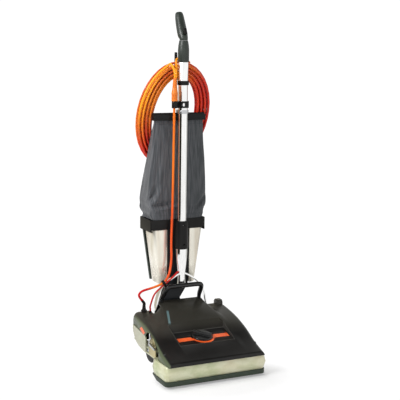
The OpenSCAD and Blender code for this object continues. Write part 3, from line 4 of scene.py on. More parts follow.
import bmesh
import bpy
from mathutils import Matrix, Vector
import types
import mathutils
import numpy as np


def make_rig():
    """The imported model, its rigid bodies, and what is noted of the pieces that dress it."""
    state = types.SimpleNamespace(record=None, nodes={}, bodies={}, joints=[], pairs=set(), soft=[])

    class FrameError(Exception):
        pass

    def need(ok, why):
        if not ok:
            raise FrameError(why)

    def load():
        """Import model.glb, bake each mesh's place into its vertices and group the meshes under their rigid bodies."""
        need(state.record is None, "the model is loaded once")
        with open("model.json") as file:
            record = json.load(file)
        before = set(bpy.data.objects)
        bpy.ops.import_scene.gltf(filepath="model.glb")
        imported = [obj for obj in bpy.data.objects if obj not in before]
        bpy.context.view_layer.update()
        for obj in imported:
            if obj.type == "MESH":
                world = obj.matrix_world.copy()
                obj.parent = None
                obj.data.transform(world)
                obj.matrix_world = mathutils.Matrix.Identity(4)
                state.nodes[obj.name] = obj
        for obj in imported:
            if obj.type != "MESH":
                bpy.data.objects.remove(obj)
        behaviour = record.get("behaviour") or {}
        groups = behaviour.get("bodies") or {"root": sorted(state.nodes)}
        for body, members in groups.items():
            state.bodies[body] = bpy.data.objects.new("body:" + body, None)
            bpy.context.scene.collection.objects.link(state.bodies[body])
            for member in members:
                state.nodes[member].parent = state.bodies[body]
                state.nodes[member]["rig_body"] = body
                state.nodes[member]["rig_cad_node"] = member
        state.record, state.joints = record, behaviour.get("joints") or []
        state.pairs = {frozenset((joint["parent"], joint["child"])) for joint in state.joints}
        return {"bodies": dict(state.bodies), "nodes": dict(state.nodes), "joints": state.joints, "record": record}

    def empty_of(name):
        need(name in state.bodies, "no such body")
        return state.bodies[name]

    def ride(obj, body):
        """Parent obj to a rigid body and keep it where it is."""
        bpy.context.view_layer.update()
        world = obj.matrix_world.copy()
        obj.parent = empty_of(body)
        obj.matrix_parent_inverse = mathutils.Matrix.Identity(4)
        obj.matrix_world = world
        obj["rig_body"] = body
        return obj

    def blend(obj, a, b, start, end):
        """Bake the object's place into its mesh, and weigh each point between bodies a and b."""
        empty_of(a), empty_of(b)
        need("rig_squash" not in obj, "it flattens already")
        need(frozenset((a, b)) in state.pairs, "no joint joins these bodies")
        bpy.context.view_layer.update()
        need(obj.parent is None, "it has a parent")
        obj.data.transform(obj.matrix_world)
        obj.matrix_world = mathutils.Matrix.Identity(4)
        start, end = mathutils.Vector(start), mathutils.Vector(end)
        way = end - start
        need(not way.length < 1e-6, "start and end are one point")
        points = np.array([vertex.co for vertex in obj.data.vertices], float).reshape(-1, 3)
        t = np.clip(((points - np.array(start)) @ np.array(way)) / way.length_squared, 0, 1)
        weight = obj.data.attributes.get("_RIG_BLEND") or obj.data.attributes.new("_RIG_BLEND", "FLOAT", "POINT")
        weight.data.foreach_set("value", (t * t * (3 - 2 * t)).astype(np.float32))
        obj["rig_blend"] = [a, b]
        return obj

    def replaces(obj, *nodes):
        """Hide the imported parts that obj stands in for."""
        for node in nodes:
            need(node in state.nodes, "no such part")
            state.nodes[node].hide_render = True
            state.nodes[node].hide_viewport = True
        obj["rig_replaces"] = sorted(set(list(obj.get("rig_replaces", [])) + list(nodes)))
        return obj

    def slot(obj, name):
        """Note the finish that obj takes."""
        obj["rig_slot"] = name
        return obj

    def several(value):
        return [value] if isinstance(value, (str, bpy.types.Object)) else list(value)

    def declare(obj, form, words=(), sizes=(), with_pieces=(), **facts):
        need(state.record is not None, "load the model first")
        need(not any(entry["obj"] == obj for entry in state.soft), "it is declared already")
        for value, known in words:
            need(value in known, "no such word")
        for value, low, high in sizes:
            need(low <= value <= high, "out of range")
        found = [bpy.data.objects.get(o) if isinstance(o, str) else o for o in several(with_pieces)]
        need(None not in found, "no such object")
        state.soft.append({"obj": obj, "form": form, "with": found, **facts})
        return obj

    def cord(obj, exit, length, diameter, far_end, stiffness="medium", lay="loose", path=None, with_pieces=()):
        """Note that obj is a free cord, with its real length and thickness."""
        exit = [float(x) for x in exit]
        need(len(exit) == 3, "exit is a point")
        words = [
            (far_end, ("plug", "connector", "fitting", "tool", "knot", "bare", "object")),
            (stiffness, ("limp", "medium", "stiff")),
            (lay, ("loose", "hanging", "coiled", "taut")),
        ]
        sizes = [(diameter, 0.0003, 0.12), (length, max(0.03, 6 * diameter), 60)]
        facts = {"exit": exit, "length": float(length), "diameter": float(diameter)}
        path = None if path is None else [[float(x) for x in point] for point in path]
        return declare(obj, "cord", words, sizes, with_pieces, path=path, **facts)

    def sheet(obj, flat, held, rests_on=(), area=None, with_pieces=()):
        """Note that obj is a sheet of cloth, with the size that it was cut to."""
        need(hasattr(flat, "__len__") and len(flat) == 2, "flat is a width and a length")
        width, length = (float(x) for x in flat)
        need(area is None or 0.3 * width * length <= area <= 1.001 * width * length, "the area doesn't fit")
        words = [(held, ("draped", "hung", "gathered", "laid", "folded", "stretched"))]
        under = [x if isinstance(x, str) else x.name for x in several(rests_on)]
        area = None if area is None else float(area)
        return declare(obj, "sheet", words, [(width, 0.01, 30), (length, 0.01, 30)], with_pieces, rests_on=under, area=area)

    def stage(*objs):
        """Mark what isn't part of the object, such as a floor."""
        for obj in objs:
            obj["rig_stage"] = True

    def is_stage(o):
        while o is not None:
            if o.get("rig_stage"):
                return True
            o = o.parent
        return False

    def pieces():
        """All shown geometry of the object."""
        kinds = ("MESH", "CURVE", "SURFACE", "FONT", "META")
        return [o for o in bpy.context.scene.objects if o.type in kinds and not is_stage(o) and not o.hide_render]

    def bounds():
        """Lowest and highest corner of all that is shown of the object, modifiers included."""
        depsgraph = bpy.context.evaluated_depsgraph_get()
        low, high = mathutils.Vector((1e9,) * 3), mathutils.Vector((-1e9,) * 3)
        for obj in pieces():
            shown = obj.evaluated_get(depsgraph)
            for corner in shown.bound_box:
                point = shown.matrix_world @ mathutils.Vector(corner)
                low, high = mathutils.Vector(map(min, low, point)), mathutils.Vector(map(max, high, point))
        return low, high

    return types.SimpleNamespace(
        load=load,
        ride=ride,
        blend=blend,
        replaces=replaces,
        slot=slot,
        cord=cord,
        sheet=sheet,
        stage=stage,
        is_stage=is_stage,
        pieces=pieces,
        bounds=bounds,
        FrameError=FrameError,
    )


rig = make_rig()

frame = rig.load()
nodes = frame["nodes"]
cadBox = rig.bounds()
bodyOf = {name: body for body, names in frame["record"]["behaviour"]["bodies"].items() for name in names}
slotOf = {part["node"]: part["material_slot"] for part in frame["record"]["subparts"]}
benchMiddle = 198.75                 # depth of the object's middle behind the nozzle's front face, in millimetres
print("frame loaded:", len(nodes), "nodes")


# places are given as on the bench: millimetres across, back from the nozzle's front, and up from the floor
def mm(x, y, z):
    return Vector((x, y - benchMiddle, z)) / 1000


def mix(a, b, share):
    return a + (b - a) * share


def ease(share):
    held = max(0.0, min(1.0, share))
    return held * held * (3 - 2 * held)


# smooth curve through the points, with that many steps between each two
def smoothed(points, steps):
    last = len(points) - 1
    path = []
    for i in range(last):
        a, b = points[max(i - 1, 0)], points[i]
        c, d = points[i + 1], points[min(i + 2, last)]
        for step in range(steps):
            t = step / steps
            path.append(b + (c - a) * (0.5 * t) + (a - b * 2.5 + c * 2 - d * 0.5) * t ** 2
                        + (b * 1.5 - a * 0.5 - c * 1.5 + d * 0.5) * t ** 3)
    return path + [points[last]]


# height on a curve of (place, height) pairs
def heightAt(pairs, place):
    for (x0, h0), (x1, h1) in zip(pairs, pairs[1:]):
        if place <= x1:
            return mix(h0, h1, (place - x0) / (x1 - x0))
    return pairs[-1][1]


def heading(path, i):
    return (path[min(i + 1, len(path) - 1)] - path[max(i - 1, 0)]).normalized()


def pathLength(path):
    return sum((b - a).length for a, b in zip(path, path[1:]))


# camera: target on the bench, angles in degrees, distance and lens in millimetres
view = {"target": (0, 150, 500), "turn": -26.07, "rise": 10.47, "roll": 0.84,
        "distance": 3137.5, "lens": 87.28, "shift": (0.0034, 0.0515)}


def makeCamera():
    turn, rise, roll = (math.radians(view[key]) for key in ("turn", "rise", "roll"))
    back = Vector((math.sin(turn) * math.cos(rise), -math.cos(turn) * math.cos(rise), math.sin(rise)))
    level = Vector((math.cos(turn), math.sin(turn), 0))
    above = back.cross(level)
    right = level * math.cos(roll) + above * math.sin(roll)
    up = above * math.cos(roll) - level * math.sin(roll)
    lens = bpy.data.cameras.new("camera")
    lens.lens, lens.sensor_width = view["lens"], 36
    lens.shift_x, lens.shift_y = view["shift"]
    lens.clip_end = 100
    camera = bpy.data.objects.new("camera", lens)
    place = mm(*view["target"]) + back * view["distance"] / 1000
    camera.matrix_world = Matrix.Translation(place) @ Matrix((right, up, back)).transposed().to_4x4()
    bpy.context.scene.collection.objects.link(camera)
    bpy.context.scene.camera = camera


makeCamera()


# new piece that holds a mesh
def pieceOf(name, mesh):
    piece = bpy.data.objects.new(name, mesh)
    bpy.context.scene.collection.objects.link(piece)
    return piece


def meshPiece(name, points, faces, uvs=None, edges=()):
    mesh = bpy.data.meshes.new(name)
    mesh.from_pydata([tuple(p) for p in points], edges, faces)
    if uvs:
        layer = mesh.uv_layers.new(name="surface")
        for loop, uv in zip(layer.data, [uv for face in uvs for uv in face]):
            loop.uv = uv
    mesh.validate()
    mesh.update()
    return pieceOf(name, mesh)


# new piece from a bmesh, which is used up
def workedPiece(name, work):
    mesh = bpy.data.meshes.new(name)
    work.to_mesh(mesh)
    work.free()
    return pieceOf(name, mesh)


# skin over rings of equally many points; uv gives a corner's place in the pattern, in metres
def ringPiece(name, rings, uv, closedEnds=True):
    around = len(rings[0])
    points = [p for ring in rings for p in ring]
    faces, uvs = [], []
    for i in range(len(rings) - 1):
        for k in range(around):
            corners = [(i, k), (i, k + 1), (i + 1, k + 1), (i + 1, k)]
            faces.append([row * around + column % around for row, column in corners])
            uvs.append([uv(row, column) for row, column in corners])
    if closedEnds:
        last = (len(rings) - 1) * around
        for face, row in ((range(around - 1, -1, -1), 0), (range(last, last + around), len(rings) - 1)):
            faces.append(list(face))
            uvs.append([uv(row, k) for k in range(around)])
    return meshPiece(name, points, faces, uvs)


# round tube along a path; radius is a number or a function of the share of the way along
def sweep(name, path, radius, sides):
    across = Vector((0, 1, 0.1))
    rings, gone, total = [], [0.0], pathLength(path)
    sizeAt = radius if callable(radius) else lambda share: radius
    for a, b in zip(path, path[1:]):
        gone.append(gone[-1] + (b - a).length)
    for i, point in enumerate(path):
        along = heading(path, i)
        across = (across - along * across.dot(along)).normalized()
        beside = along.cross(across)
        size = sizeAt(gone[i] / total)
        rings.append([point + across * (size * math.cos(math.tau * k / sides))
                      + beside * (size * math.sin(math.tau * k / sides)) for k in range(sides)])
    girth = math.tau * sizeAt(0.5)
    return ringPiece(name, rings, lambda row, column: (girth * column / sides, gone[row]))


# body turned about an upright axis through its foot, from (radius, height) pairs in millimetres
def turned(name, profile, sides, foot):
    angles = [math.tau * k / sides for k in range(sides)]
    rings = []
    for radius, height in profile:
        reach = max(radius, 0.01)                # a hair of width at each end
        rings.append([Vector((reach * math.cos(angle), reach * math.sin(angle), height)) / 1000 for angle in angles])
    piece = ringPiece(name, rings, lambda row, column: (column / sides, profile[row][1] / 1000))
    piece.data.transform(Matrix.Translation(foot))
    return piece


# final plain mesh of a piece, once its modifiers are worked out
def settled(piece, sharp=35):
    bpy.context.view_layer.update()
    shape = bpy.data.meshes.new_from_object(piece.evaluated_get(bpy.context.evaluated_depsgraph_get()))
    piece.modifiers.clear()
    piece.data = shape
    shaded(piece, sharp)
    return piece


def shaded(piece, sharp):
    piece.data.shade_smooth()
    piece.data.set_sharp_from_angle(angle=math.radians(sharp))


def rounded(piece, width, sharp):
    bevel = piece.modifiers.new("edges", "BEVEL")
    bevel.width, bevel.segments = width / 1000, 2
    bevel.limit_method, bevel.angle_limit = "ANGLE", math.radians(sharp)
    bevel.use_clamp_overlap = True
    return settled(piece, sharp)


# gives a finished piece its finish, its body and the nodes that it stands for
def dress(piece, finish, body, slot, *stoodFor):
    piece.data.materials.clear()
    piece.data.materials.append(finishes[finish])
    if body:
        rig.ride(piece, body)
    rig.slot(piece, slot)
    if stoodFor:
        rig.replaces(piece, *stoodFor)
    return piece


# shader and geometry networks
class Wire:
    def __init__(self, build, socket):
        self.build, self.socket = build, socket

    def maths(self, operation, first, second=0.0):
        return self.build.node("ShaderNodeMath", {"operation": operation}, {0: first, 1: second})

    def __add__(self, other):
        return self.maths("ADD", self, other)

    def __sub__(self, other):
        return self.maths("SUBTRACT", self, other)

    def __rsub__(self, other):
        return self.maths("SUBTRACT", other, self)

    def __mul__(self, other):
        return self.maths("MULTIPLY", self, other)

    __radd__ = __add__
    __rmul__ = __mul__

    # soft step from 0 to 1
    def step(self, low, high):
        return self.build.node("ShaderNodeMapRange", {"interpolation_type": "SMOOTHSTEP"},
                               {"Value": self, "From Min": low, "From Max": high})

    # 1 between two values, 0 outside, soft at both
    def within(self, low, high, soft=0.0006):
        return self.step(low - soft, low + soft) * (1 - self.step(high - soft, high + soft))

    # even wave between 0 and 1, once for each length
    def wave(self, length):
        return self.maths("SINE", self * (math.tau / length)) * 0.5 + 0.5


class Build:
    def __init__(self, tree):
        self.tree = tree

    # adds a node of any type; a ramp's stops are (place, colour) pairs
    def node(self, kind, settings=None, inputs=None, output=0):
        made = self.tree.nodes.new(kind)
        for key, value in (settings or {}).items():
            if key == "stops":
                self.setStops(made.color_ramp, value)
            else:
                setattr(made, key, value)
        for key, value in (inputs or {}).items():
            if isinstance(value, Wire):
                self.tree.links.new(value.socket, made.inputs[key])
            else:
                made.inputs[key].default_value = value
        return Wire(self, made.outputs[output]) if made.outputs else None

    def setStops(self, ramp, stops):
        while len(ramp.elements) < len(stops):
            ramp.elements.new(0.5)
        for element, (place, colour) in zip(ramp.elements, stops):
            element.position = place
            element.color = (*colour, 1)


class Finish(Build):
    def __init__(self, name, colour, sockets=None):
        material = bpy.data.materials.new(name)
        material.use_nodes = True
        material.diffuse_color = (*colour, 1)
        super().__init__(material.node_tree)
        self.material = material
        self.shader = material.node_tree.nodes["Principled BSDF"]
        self.shader.inputs["Base Color"].default_value = (*colour, 1)
        for socket, value in (sockets or {}).items():
            self.shader.inputs[socket].default_value = value
        self.place = self.node("ShaderNodeTexCoord", output="Object")

    # object place, or the piece's own pattern place, stretched by a scale for each axis
    def spread(self, scale, source=None):
        return self.node("ShaderNodeMapping", None, {"Vector": source or self.place, "Scale": scale})

    # distance along a way through the object, in metres
    def along(self, way):
        return self.node("ShaderNodeVectorMath", {"operation": "DOT_PRODUCT"}, {0: self.place, 1: way}, "Value")

    def noise(self, size, detail, source=None, contrast=0.0):
        cloud = self.node("ShaderNodeTexNoise", None,
                          {"Vector": source or self.place, "Scale": size, "Detail": detail})
        return cloud.step(contrast, 1 - contrast) if contrast else cloud

    def apart(self, source, axis):
        return self.node("ShaderNodeSeparateXYZ", None, {0: source}, axis)

    def pattern(self):
        return self.node("ShaderNodeUVMap", {"uv_map": "surface"})

    # colour between two colours, each a triple or a wire
    def tint(self, share, first, second):
        colours = {6: first, 7: second}
        inputs = {0: share, **{k: c if isinstance(c, Wire) else (*c, 1) for k, c in colours.items()}}
        return self.node("ShaderNodeMix", {"data_type": "RGBA"}, inputs, 2)

    def feed(self, socket, wire):
        self.tree.links.new(wire.socket, self.shader.inputs[socket])

    def bump(self, height, depth, strength):
        self.feed("Normal", self.node("ShaderNodeBump", None,
                                      {"Height": height, "Distance": depth, "Strength": strength}))


def shade(colour, factor):
    return tuple(min(1.0, c * factor) for c in colour)


# moulded plastic: fine grain, a soft cloud in colour and gloss
def plastic(name, colour, roughness, sockets=None, grain=1100, depth=0.00003):
    finish = Finish(name, colour, sockets)
    cloud = finish.noise(11, 4, contrast=0.25)
    speck = finish.noise(grain, 1)
    finish.feed("Base Color", finish.tint(cloud, shade(colour, 0.8), shade(colour, 1.3)))
    finish.feed("Roughness", cloud * 0.1 + speck * 0.05 + (roughness - 0.07))
    finish.bump(speck, depth, 0.5)
    return finish.material


# metal with fine marks drawn out along one axis
def metal(name, colour, roughness, along=(1, 1, 1), marks=0.12, depth=0.000004):
    finish = Finish(name, colour, {"Metallic": 1.0})
    drawn = finish.noise(600, 3, finish.spread(along), 0.15)
    cloud = finish.noise(16, 3, contrast=0.3)
    finish.feed("Base Color", finish.tint(drawn, shade(colour, 0.86), shade(colour, 1.04)))
    finish.feed("Roughness", drawn * marks + cloud * 0.05 + roughness)
    finish.bump(drawn, depth, 0.4)
    return finish.material


# black hood: satin, painted sheen on its top, a painted highlight round the recess edge, a painted reflection streak on
# its left slope, painted light on its greener side wall
hoodLook = {"black": (0.0085, 0.0080, 0.0075), "dust": (0.036, 0.034, 0.027), "dustHeight": (0.120, 0.155),
            "wearAndPaintedLight": (0.085, 0.083, 0.075), "recess": ((-0.098, 0.098), (-0.12975, -0.0479)), "edge": 0.0016,
            "scuff": (0.12, 0.20, 0.21), "scuffWay": (1, -0.3077, 0), "reflectionAcross": (-0.0847, -0.0769),
            "scuffBack": (-0.025, 0.035), "scuffHeight": (0.150, 0.158),
            "green": (0.100, 0.122, 0.068), "sideAcross": (-0.1685, -0.163)}


def hoodSkin():
    look = hoodLook
    finish = Finish("hoodPlastic", look["black"], {"Coat Roughness": 0.2, "Specular IOR Level": 0.2})
    cloud = finish.noise(9, 4, contrast=0.25)
    speck = finish.noise(1300, 1)
    across, back, height = (finish.apart(finish.place, axis) for axis in range(3))
    (left, right), (front, rear) = look["recess"]
    out = look["edge"]
    recessed = across.within(left, right) * back.within(front, rear)
    edge = across.within(left - out, right + out) * back.within(front - out, rear + out) - recessed
    base = finish.tint(cloud, shade(look["black"], 0.8), shade(look["black"], 1.5))
    # painted sheen: the top is lighter, except in the recess
    sheenTopped = finish.tint(height.step(*look["dustHeight"]) * (1 - recessed) * 0.8, base, look["dust"])
    # painted reflection: a pale teal streak along the crown's left slope
    scuff = (finish.along(look["scuffWay"]).within(*look["reflectionAcross"]) * back.within(*look["scuffBack"], 0.006)
             * height.step(*look["scuffHeight"]))
    reflected = finish.tint(scuff * 0.8, sheenTopped, look["scuff"])
    # painted highlight: a lighter band round the recess edge
    wearAndPaintedLight = finish.tint(edge * 0.6, reflected, look["wearAndPaintedLight"])
    # painted light: the left side wall is lighter and greener
    side = 1 - across.step(*look["sideAcross"])
    finish.feed("Base Color", finish.tint(side * 0.85, wearAndPaintedLight, look["green"]))
    finish.feed("Roughness", cloud * 0.08 + speck * 0.05 + 0.26)
    finish.feed("Coat Weight", cloud * 0.08 + 0.06)
    finish.bump(speck, 0.00002, 0.5)
    return finish.material


# green-silver paint on the casting: metal flakes, mottling, warm and cool tones, painted shade on the left side panel
castLook = {"paint": (0.53, 0.56, 0.46), "cool": (0.38, 0.44, 0.22), "warm": (0.60, 0.55, 0.37),
            "flake": (0.76, 0.75, 0.58), "dull": (0.38, 0.36, 0.30), "sideAcross": (-0.168, -0.162),
            "sideBack": (-0.115, -0.100)}


def castPaint():
    look = castLook
    finish = Finish("silverPaint", look["paint"], {"Coat Roughness": 0.25})
    flake = finish.noise(1500, 1, contrast=0.3)
    mottle = finish.noise(26, 5, finish.spread((1, 1, 2.2)), 0.3)
    warm = finish.noise(7, 2, contrast=0.25)
    painted = finish.tint(mottle * 0.5 + flake * 0.2, finish.tint(warm, look["cool"], look["warm"]), look["flake"])
    across, back = (finish.apart(finish.place, axis) for axis in range(2))
    # painted shade: the left side panel behind the nozzle is darker
    side = (1 - across.step(*look["sideAcross"])) * back.step(*look["sideBack"])
    finish.feed("Base Color", finish.tint(side * 0.6, painted, look["dull"]))
    finish.feed("Roughness", mottle * 0.14 + 0.33)
    finish.feed("Metallic", flake * 0.2 + 0.1)
    finish.feed("Coat Weight", mottle * 0.1 + 0.1)
    finish.bump(mottle * 0.7 + flake * 0.3, 0.00006, 0.5)
    return finish.material


# silver finished panels of the cup, with lengthwise tones and faint darker patches near the bottom
cupLook = {"silver": (0.72, 0.68, 0.61), "deep": (0.62, 0.55, 0.44), "light": (0.88, 0.85, 0.75),
           "wearAndPaintedLight": (0.42, 0.40, 0.33), "darkerBelow": (0.27, 0.33)}


def cupPaint():
    look = cupLook
    finish = Finish("cupSilver", look["silver"], {"Coat Roughness": 0.12})
    lengthwise = finish.noise(34, 2, finish.spread((1, 1, 0.03)), 0.3)
    fine = finish.noise(420, 2, finish.spread((1, 1, 0.015)))
    low = 1 - finish.apart(finish.place, 2).step(*look["darkerBelow"])
    # darker patches towards the bottom of the cup
    wearAndPaintedLight = finish.noise(40, 4, contrast=0.35) * low
    toned = finish.tint(lengthwise, look["deep"], look["light"])
    finish.feed("Base Color", finish.tint(wearAndPaintedLight * 0.6, toned, look["wearAndPaintedLight"]))
    finish.feed("Metallic", lengthwise * 0.1 + 0.5)
    finish.feed("Roughness", fine * 0.1 + wearAndPaintedLight * 0.2 + 0.2)
    finish.feed("Coat Weight", 0.3 - wearAndPaintedLight * 0.2)
    finish.bump(fine, 0.00001, 0.4)
    return finish.material


# woven bag cloth: uneven upright stripes, pin stripes, weave and soft wear, on the piece's own pattern in metres, and
# painted shade on its right side
clothLook = {"dark": (0.024, 0.029, 0.034), "pale": (0.128, 0.130, 0.140), "wear": (0.060, 0.066, 0.075),
             "green": (0.036, 0.042, 0.043), "shadedAcross": (0.0, 0.075), "pin": 0.0050, "warp": 0.0011, "weft": 0.0010}


def bagCloth():
    look = clothLook
    finish = Finish("bagCloth", look["dark"], {"Sheen Roughness": 0.5, "Sheen Weight": 0.2})
    pattern = finish.pattern()
    across, up = finish.apart(pattern, 0), finish.apart(pattern, 1)
    stripe = finish.noise(230, 2, finish.spread((1, 0.05, 1), pattern), 0.40)
    cloud = finish.noise(9, 3, contrast=0.25)
    weave = across.wave(look["warp"]) * 0.5 + up.wave(look["weft"]) * 0.5
    body = finish.tint(stripe * 0.6 + across.wave(look["pin"]) * 0.3 + weave * 0.1, look["dark"], look["pale"])
    toned = finish.tint(cloud * 0.2, body, look["wear"])
    # painted shade: the right side of the bag is darker and greener
    right = finish.apart(finish.place, 0).step(*look["shadedAcross"])
    finish.feed("Base Color", finish.tint(right * 0.45, toned, look["green"]))
    finish.feed("Roughness", weave * 0.1 + 0.74)
    finish.bump(weave * 0.4 + stripe * 0.8, 0.00025, 0.7)
    return finish.material


# cord jacket shaded from one tone to the other between two distances along a way, as painted light and shade; a share
# of it is crimson painted shadow, in long patches that follow the cord
crimsonShadow = (0.45, 0.006, 0.012)


def jacket(name, first, second, way, low, high, shadowPatches=0.0):
    finish = Finish(name, second, {"Coat Roughness": 0.25, "Specular IOR Level": 0.3})
    wearAndPaintedLight = finish.noise(90, 3, contrast=0.35)
    # painted light and shade: the shaded colour one way, the lit colour the other
    paintedShading = finish.tint(finish.along(way).step(low, high), first, second)
    if shadowPatches:
        # painted shadow: crimson patches along the strands
        shadowPatch = finish.noise(30, 1, finish.spread((1, 0.10, 1), finish.pattern()), 0.38)
        paintedShading = finish.tint(shadowPatch * shadowPatches, paintedShading, crimsonShadow)
    finish.feed("Base Color", paintedShading)
    finish.feed("Roughness", wearAndPaintedLight * 0.12 + 0.34)
    finish.feed("Coat Weight", 0.16 - wearAndPaintedLight * 0.1)
    finish.bump(wearAndPaintedLight, 0.00001, 0.15)
    return finish.material


# dusty rubber
def rubbery(name, colour, roughness):
    finish = Finish(name, colour, {"Specular IOR Level": 0.35})
    dust = finish.noise(30, 5, contrast=0.3)
    grain = finish.noise(900, 2)
    finish.feed("Base Color", finish.tint(dust * 0.6, colour, shade(colour, 1.7)))
    finish.feed("Roughness", dust * 0.12 + roughness)
    finish.bump(grain * 0.6 + dust * 0.4, 0.00008, 0.5)
    return finish.material


plastics = {
    "blackPlastic": ((0.0090, 0.0088, 0.0085), 0.34, {"Specular IOR Level": 0.15}),
    "dialPlastic": ((0.0080, 0.0085, 0.0085), 0.22, {"Specular IOR Level": 0.45}),
    "ductPlastic": ((0.006, 0.0075, 0.009), 0.48, {"Specular IOR Level": 0.25}),
    "backPlastic": ((0.040, 0.052, 0.044), 0.46),
    "gripPlastic": ((0.020, 0.026, 0.021), 0.34, {"Specular IOR Level": 0.4}),
    "bristleNylon": ((0.010, 0.010, 0.010), 0.4, None, 2500, 0.00001),
    "stitchThread": ((0.030, 0.036, 0.044), 0.7, None, 2500, 0.00002),
    "plugOrange": ((0.90, 0.22, 0.020), 0.42, None, 700),
    "trimOrange": ((0.86, 0.105, 0.014), 0.35, {"Coat Weight": 0.2}, 500, 0.00001),
}
metals = {
    "chrome": ((0.90, 0.90, 0.89), 0.05, (1, 1, 0.05), 0.03, 0.000001),
    "steel": ((0.56, 0.57, 0.58), 0.28, (0.08, 1, 1)),
    "zinc": ((0.60, 0.53, 0.30), 0.32, (1, 0.2, 1), 0.2),
    "rollMetal": ((0.60, 0.61, 0.62), 0.30, (1, 0.06, 0.06)),
    "brass": ((0.78, 0.60, 0.28), 0.2, (1, 1, 0.2)),
    "darkSteel": ((0.10, 0.10, 0.10), 0.4),
}
rubbers = {"bumperRubber": ((0.022, 0.032, 0.021), 0.46), "wheelRubber": ((0.014, 0.014, 0.014), 0.55)}
# cord tones: shaded colour, lit colour, way, from and to along it, share of crimson shadow patches; the change is
# painted light and shade
jackets = {
    "coilJacket": ((0.78, 0.040, 0.010), (0.95, 0.36, 0.010), (-1.2, 0, 1), 0.82, 1.04, 0.75),
    "leadJacket": ((0.78, 0.08, 0.008), (0.84, 0.17, 0.005), (0, 0, 1), 0.48, 0.66),
    "loopJacket": ((0.55, 0.006, 0.008), (0.84, 0.16, 0.006), (1, 0, 0), -0.135, -0.098),
    "redJacket": ((0.45, 0.008, 0.010), (0.55, 0.012, 0.010), (0, 0, 1), 0.20, 0.27),
}
finishes = {"hoodPlastic": hoodSkin(), "silverPaint": castPaint(), "cupSilver": cupPaint(), "bagCloth": bagCloth()}
for make, kinds in ((plastic, plastics), (metal, metals), (rubbery, rubbers), (jacket, jackets)):
    finishes.update({name: make(name, *values) for name, values in kinds.items()})
print("finishes made:", len(finishes))


# cords: diameters and places in millimetres; the routes repeat the model's own points
cordSizes = {"supply": 8.0, "switch": 6.0, "sides": 12}
leadStart = (-132, 288)              # where the supply lead leaves the hood
clipAt = Vector((-72, 266, 274))     # clip on the fork's left arm
clipTilt = math.radians(57)
clipWay = Vector((math.sin(clipTilt), 0, math.cos(clipTilt)))
neckClip = clipAt + 8.6 * Vector((math.cos(clipTilt), 0, -math.sin(clipTilt)))     # its hole for the switch lead


def onBench(points):
    return [mm(*p) for p in points]


# height of a node's lowest point, in millimetres
def lowest(name):
    return min(v.co.z for v in nodes[name].data.vertices) * 1000


coil = {"layers": 4, "turns": 4, "steps": 36, "outer": (175, 130), "inner": (131, 77), "middle": (-5, 828),
        "lean": math.radians(8.5), "layerStep": 9.1, "behind": 303, "start": -32, "shortBy": 3 / 24,
        "climb": (0.75, 0.55), "drape": (0.12, 0.00026)}


# one point of the coil at turn u: each layer winds in or out, then the cord climbs to the next
def coilPoint(u):
    layer = min(coil["layers"] - 1, math.floor(u / coil["turns"]))
    share = (u - layer * coil["turns"]) / coil["turns"]
    inward = share if layer % 2 == 0 else 1 - share
    before, over = coil["climb"]
    turnedBy = max(0.0, ((share - 1) * coil["turns"] * 2 + before) / over)
    climb = 1 - math.sqrt(1 - min(1.0, turnedBy) ** 2)
    level = layer + (climb if layer < coil["layers"] - 1 else 0)
    tall, wide = (mix(a, b, inward) for a, b in zip(coil["outer"], coil["inner"]))
    angle = math.radians(-360 * u + coil["start"])
    side, up, lean = wide * math.sin(angle), tall * math.cos(angle), coil["lean"]
    x = coil["middle"][0] + side * math.cos(lean) + up * math.sin(lean)
    z = coil["middle"][1] - side * math.sin(lean) + up * math.cos(lean)
    down = coil["middle"][1] + coil["outer"][0] - z
    slant, curve = coil["drape"]
    return Vector((x, coil["behind"] + coil["layerStep"] * level + slant * down + curve * down * down, z))


# from the top of the tube lead, up and over the hook, round the coil and down into the plug
def supplyRoute():
    last = coil["turns"] * coil["layers"] - coil["shortBy"]
    count = round(last * coil["steps"])
    wound = [coilPoint(last * k / count) for k in range(count, -1, -1)]
    leaving = (coilPoint(last) - coilPoint(last - 1 / 24)).normalized()
    entering = (coilPoint(1 / 24) - coilPoint(0)).normalized()
    rise = [(-29, 285, 882.3), (-29, 285, 891), (-26, 287, 906), (-22, 289, 925), (-21.5, 290, 945),
            (-19.5, 291, 965), (-19.5, 292, 990), (-19.5, 294, 1003), (-15, 299, 1011), (-6, 305, 1014.5),
            (8, 313, 1015), (26, 322, 1010), (44, 328, 1001)]
    plugEnd = [(-40, 296, 996), (-37, 284, 990), (-36, 272, 977), (-36, 267, 968.6), (-36, 267, 960.6),
               (-36, 267, 952.6)]
    up = [Vector(p) for p in rise] + [wound[0] + s * leaving for s in (16, 8, 0.3)]
    down = [wound[-1] - s * entering for s in (0.3, 8, 16)] + [Vector(p) for p in plugEnd]
    return onBench(smoothed(up, 4) + wound + smoothed(down, 4))


# from the hood's gland, out and over the tilt to the fork's clip
def loopRoute():
    low = lowest("lead_loop")
    rises = [(*leadStart, low + rise - 0.3) for rise in (0.3, 8, 14)]
    bend = [(-142, 284, 216), (-153, 279, 230), (-154, 275, 241), (-143, 271, 251), (-110, 268, 259)]
    loop = [Vector(p) for p in rises + bend] + [clipAt + s * clipWay for s in (-12, -6, -0.15)]
    return onBench(smoothed(loop, 6))


# from the fork's clip, up along the tube
def tubeRoute():
    held = [clipAt + s * clipWay for s in (0.15, 6, 12)] + [Vector(p) for p in (
        (-50, 272, 295), (-42, 278, 310), (-36, 284, 332), (-34, 285, 356), (-35, 285, 400), (-34, 285, 450),
        (-32, 285, 520), (-31, 285, 600), (-30, 285, 700), (-29, 285, 800), (-29, 285, 850), (-29, 285, 882))]
    return onBench(smoothed(held, 6))


